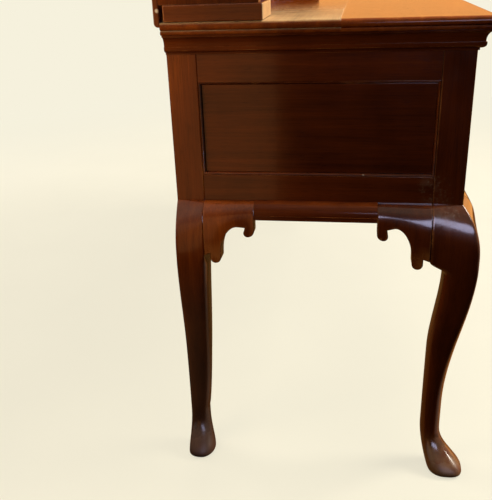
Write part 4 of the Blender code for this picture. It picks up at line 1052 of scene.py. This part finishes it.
def show_legs_and_brackets():
    """Four legs and six brackets: two on each end and two on the front."""
    for side, end in ((-1, "left"), (1, "right")):

        def beside_front_leg(along, out, height, side=side):
            return (side * (X_END + out), Y_FRONT + POST_WIDTH + along, height)

        def beside_rear_leg(along, out, height, side=side):
            return (side * (X_END + out), Y_BACK - POST_WIDTH - along, height)

        def on_front(along, out, height, side=side):
            return (side * (X_END - POST_WIDTH - along), Y_FRONT - out, height)

        show_leg("leg_front_" + end, side, front=True)
        show_leg("leg_rear_" + end, side, front=False)
        show_bracket(f"bracket_{end}_front", beside_front_leg)
        show_bracket(f"bracket_{end}_rear", beside_rear_leg, REAR_ARCH_SAG)
        show_bracket(f"bracket_front_{end}", on_front)


# Handles


def show_bail(node):
    """A cast bail, rounded from its solid."""
    mesh = drawn_from_solid(node)
    bmesh.ops.triangulate(mesh, faces=mesh.faces)
    bmesh.ops.join_triangles(mesh, faces=mesh.faces, angle_face_threshold=BAIL_JOINING,
                             angle_shape_threshold=BAIL_JOINING)
    mark_worn_points(mesh)
    piece = show(node, mesh)
    rounded = piece.modifiers.new("rounded", "SUBSURF")
    rounded.levels = BAIL_ROUNDING
    rounded.render_levels = BAIL_ROUNDING
    return piece


def show_everything():
    """Legs and brackets drawn anew, then each other node in turn, eased or rounded from its solid."""
    show_legs_and_brackets()
    for node in sorted(frame["nodes"]):
        if node.startswith(("leg", "bracket")):
            continue
        if "_bail_" in node:
            show_bail(node)
        elif node == "rack_back":
            show_rack_back()
        elif node == "top_board":
            show_top_board()
        elif "_plate_" in node:
            show_board(node, BRASS_ARRIS)
        elif node.startswith("rack_foot"):
            show_board(node, WORN_ARRIS)
        else:
            show_board(node, BOARD_ARRIS)


# Room

CREAM = paint(246, 241, 221)
CREAM_SHADE = paint(238, 233, 213)
FLOOR_SIZE = 14.0
FLOOR_MOTTLE = 3.0
FLOOR_ROUGHNESS = 0.9
FLOOR_SHADOW = 0.25
FLOOR_FADE = (1.2, 3.2)
WARM_ROOM = (1.0, 0.85, 0.68, 1.0)
FILL_BELOW = 0.07
FILL_ABOVE = 0.05
FILL_RISE = (0.0, 0.8)
HORIZON = (-0.04, 0.10)
SIDE_WALLS = (0.40, 0.90)
FLOOR_AHEAD = (0.60, 0.90)
MIRRORED_WALL = 0.45
MIRRORED_FLOOR = 0.30
MIRRORED_DARK_WALL = 0.05


def soft_box(name, place, aim, size, radiance, colour, lights=True, mirrored=True, tilt=0.0):
    """A wide lamp turned to a point: it lights the timber, is mirrored in the polish, or both."""
    lamp = bpy.data.lights.new(name, "AREA")
    lamp.shape = "RECTANGLE"
    lamp.size, lamp.size_y = size
    lamp.energy = radiance * math.pi * size[0] * size[1]
    lamp.color = colour
    holder = bpy.data.objects.new(name, lamp)
    turn = (Vector(aim) - Vector(place)).to_track_quat("-Z", "Y").to_matrix().to_4x4()
    holder.matrix_world = Matrix.Translation(place) @ turn @ Matrix.Rotation(math.radians(tilt), 4, "Z")
    holder.visible_camera = False
    holder.visible_diffuse = lights
    holder.visible_glossy = mirrored
    bpy.context.scene.collection.objects.link(holder)


def lay_floor():
    """A pale floor that keeps the dresser's shadow and runs into the backdrop."""
    half = FLOOR_SIZE / 2
    corners = [(-half, -half, 0.0), (half, -half, 0.0), (half, half, 0.0), (-half, half, 0.0)]
    data = bpy.data.meshes.new("floor")
    data.from_pydata(corners, [], [(0, 1, 2, 3)])
    finish = Finish("pale_floor", Roughness=FLOOR_ROUGHNESS)
    mottle = finish.place().speckle(FLOOR_MOTTLE, 4.0)
    finish.feed(Base_Color=mottle.shades(((0.3, CREAM_SHADE), (0.7, CREAM))))
    shader = Strand(finish.shader.outputs["BSDF"])
    glow = shader.node("ShaderNodeEmission", {}, {"Color": CREAM, "Strength": 1.0})
    far = finish.place().distance((0.0, 0.0, 0.0)).between(*FLOOR_FADE)
    glowing = 1.0 - FLOOR_SHADOW + FLOOR_SHADOW * far
    mixed = shader.node("ShaderNodeMixShader", {}, {0: glowing, 1: shader, 2: glow})
    finish.tree.links.new(mixed.socket, finish.tree.nodes["Material Output"].inputs["Surface"])
    data.materials.append(finish.material)
    floor = bpy.data.objects.new("floor", data)
    floor.visible_glossy = False
    floor.visible_diffuse = False
    bpy.context.scene.collection.objects.link(floor)


def fill_room():
    """A cream backdrop for the eye, dimmer walls and floor for the polish to mirror, a low even light."""
    world = bpy.data.worlds.new("room")
    world.use_nodes = True
    tree = world.node_tree
    background = tree.nodes["Background"]
    paths = tree.nodes.new("ShaderNodeLightPath").outputs
    seen = Strand(paths["Is Camera Ray"]) + Strand(paths["Is Transmission Ray"])
    mirrored = Strand(paths["Is Glossy Ray"])
    direction = add_node(tree, "ShaderNodeTexCoord", {}, {}, "Generated")
    height = direction.part("Z")
    across = direction.part("X")
    above = height.between(*HORIZON)
    beside = (across * across).between(*SIDE_WALLS)
    ahead = (0.0 - direction.part("Y")).between(*FLOOR_AHEAD)
    wall = above * (MIRRORED_WALL + beside * (MIRRORED_DARK_WALL - MIRRORED_WALL))
    wall = wall + MIRRORED_FLOOR * ahead * (1.0 - above)
    fill = FILL_BELOW + (FILL_ABOVE - FILL_BELOW) * height.between(*FILL_RISE)
    level = seen + (1.0 - seen) * (fill + mirrored * (wall - fill))
    shares = {0: seen + mirrored, 6: WARM_ROOM, 7: CREAM}
    backdrop = add_node(tree, "ShaderNodeMix", {"data_type": "RGBA"}, shares, 2)
    tree.links.new(backdrop.socket, background.inputs["Color"])
    tree.links.new(level.socket, background.inputs["Strength"])
    bpy.context.scene.world = world


def light_room():
    """Six lamps that light the timber, the key mirrored too, and six glows that the polish only mirrors."""
    soft_box("key", place=(0.4, -2.9, 2.8), aim=(0.0, -0.2, 0.75), size=(1.5, 1.5),
             radiance=23.0, colour=(1.0, 0.93, 0.80))
    soft_box("overhead", place=(-0.45, -0.2, 3.3), aim=(-0.6, -0.1, 0.8), size=(2.0, 1.2),
             radiance=7.0, colour=(1.0, 0.90, 0.74), mirrored=False)
    soft_box("back_lamp", place=(0.9, 3.2, 1.8), aim=(0.0, 0.25, 1.0), size=(1.8, 2.0),
             radiance=6.0, colour=(1.0, 0.94, 0.84), mirrored=False)
    soft_box("right_lamp", place=(3.2, 0.6, 1.5), aim=(0.7, 0.0, 0.8), size=(1.5, 1.5),
             radiance=5.0, colour=(1.0, 0.94, 0.84), mirrored=False)
    soft_box("side_lamp", place=(-1.01, 0.58, 0.82), aim=(-0.71, 0.22, 0.60), size=(0.3, 0.3),
             radiance=8.5, colour=(1.0, 0.84, 0.62), mirrored=False)
    soft_box("window", place=(-3.2, -0.80, 1.51), aim=(-0.72, -0.2, 0.5), size=(1.5, 0.72),
             radiance=8.0, colour=(0.66, 0.68, 1.0), lights=False, tilt=36.0)
    soft_box("front_fill", place=(-0.4, -2.6, 0.45), aim=(-0.3, -0.25, 0.3), size=(1.2, 0.6),
             radiance=3.0, colour=(1.0, 0.86, 0.66), mirrored=False)
    soft_box("card", place=(-1.95, 0.58, 0.45), aim=(-0.71, 0.2, 0.45), size=(0.7, 1.0),
             radiance=0.50, colour=(1.0, 0.44, 0.16), lights=False)
    soft_box("far_wall", place=(3.0, -0.2, 1.25), aim=(0.0, -0.2, 1.0), size=(3.4, 0.9),
             radiance=1.0, colour=(1.0, 0.42, 0.10), lights=False)
    soft_box("front_glow", place=(2.2, -2.2, 0.5), aim=(-0.7, -0.25, 0.4), size=(2.0, 1.4),
             radiance=1.6, colour=(1.0, 0.45, 0.12), lights=False)
    soft_box("floor_glow", place=(1.05, -0.6, 0.004), aim=(1.05, -0.6, 1.0), size=(3.6, 1.9),
             radiance=0.15, colour=(1.0, 0.44, 0.10), lights=False)
    soft_box("toe_glow", place=(-0.34, -0.72, 0.006), aim=(-0.34, -0.72, 1.0), size=(0.66, 0.84),
             radiance=0.40, colour=(1.0, 0.34, 0.05), lights=False)


# Eye

EYE_PLACE = (-1.7685, -0.0524, 0.8891)
EYE_YAW = math.radians(-10.03)
EYE_PITCH = math.radians(23.08)
EYE_ROLL = math.radians(-2.16)
PICTURE_HEIGHT = 500
FOCAL_PIXELS = 673.51
SENSOR = 36.0


def set_eye():
    """The camera at the photograph's place, looking down at the left end from a little above the top."""
    ahead = Vector((math.cos(EYE_PITCH) * math.cos(EYE_YAW),
                    -math.cos(EYE_PITCH) * math.sin(EYE_YAW),
                    -math.sin(EYE_PITCH)))
    level = ahead.cross(UP).normalized()
    upright = level.cross(ahead)
    right = math.cos(EYE_ROLL) * level + math.sin(EYE_ROLL) * upright
    up = math.cos(EYE_ROLL) * upright - math.sin(EYE_ROLL) * level
    turn = Matrix((right, up, -ahead)).transposed()
    lens = bpy.data.cameras.new("eye")
    lens.sensor_width = SENSOR
    lens.lens = FOCAL_PIXELS / PICTURE_HEIGHT * SENSOR
    eye = bpy.data.objects.new("eye", lens)
    eye.matrix_world = Matrix.Translation(EYE_PLACE) @ turn.to_4x4()
    bpy.context.scene.collection.objects.link(eye)
    bpy.context.scene.camera = eye


show_everything()
lay_floor()
fill_room()
light_room()
set_eye()
bpy.context.scene.view_settings.view_transform = "Standard"
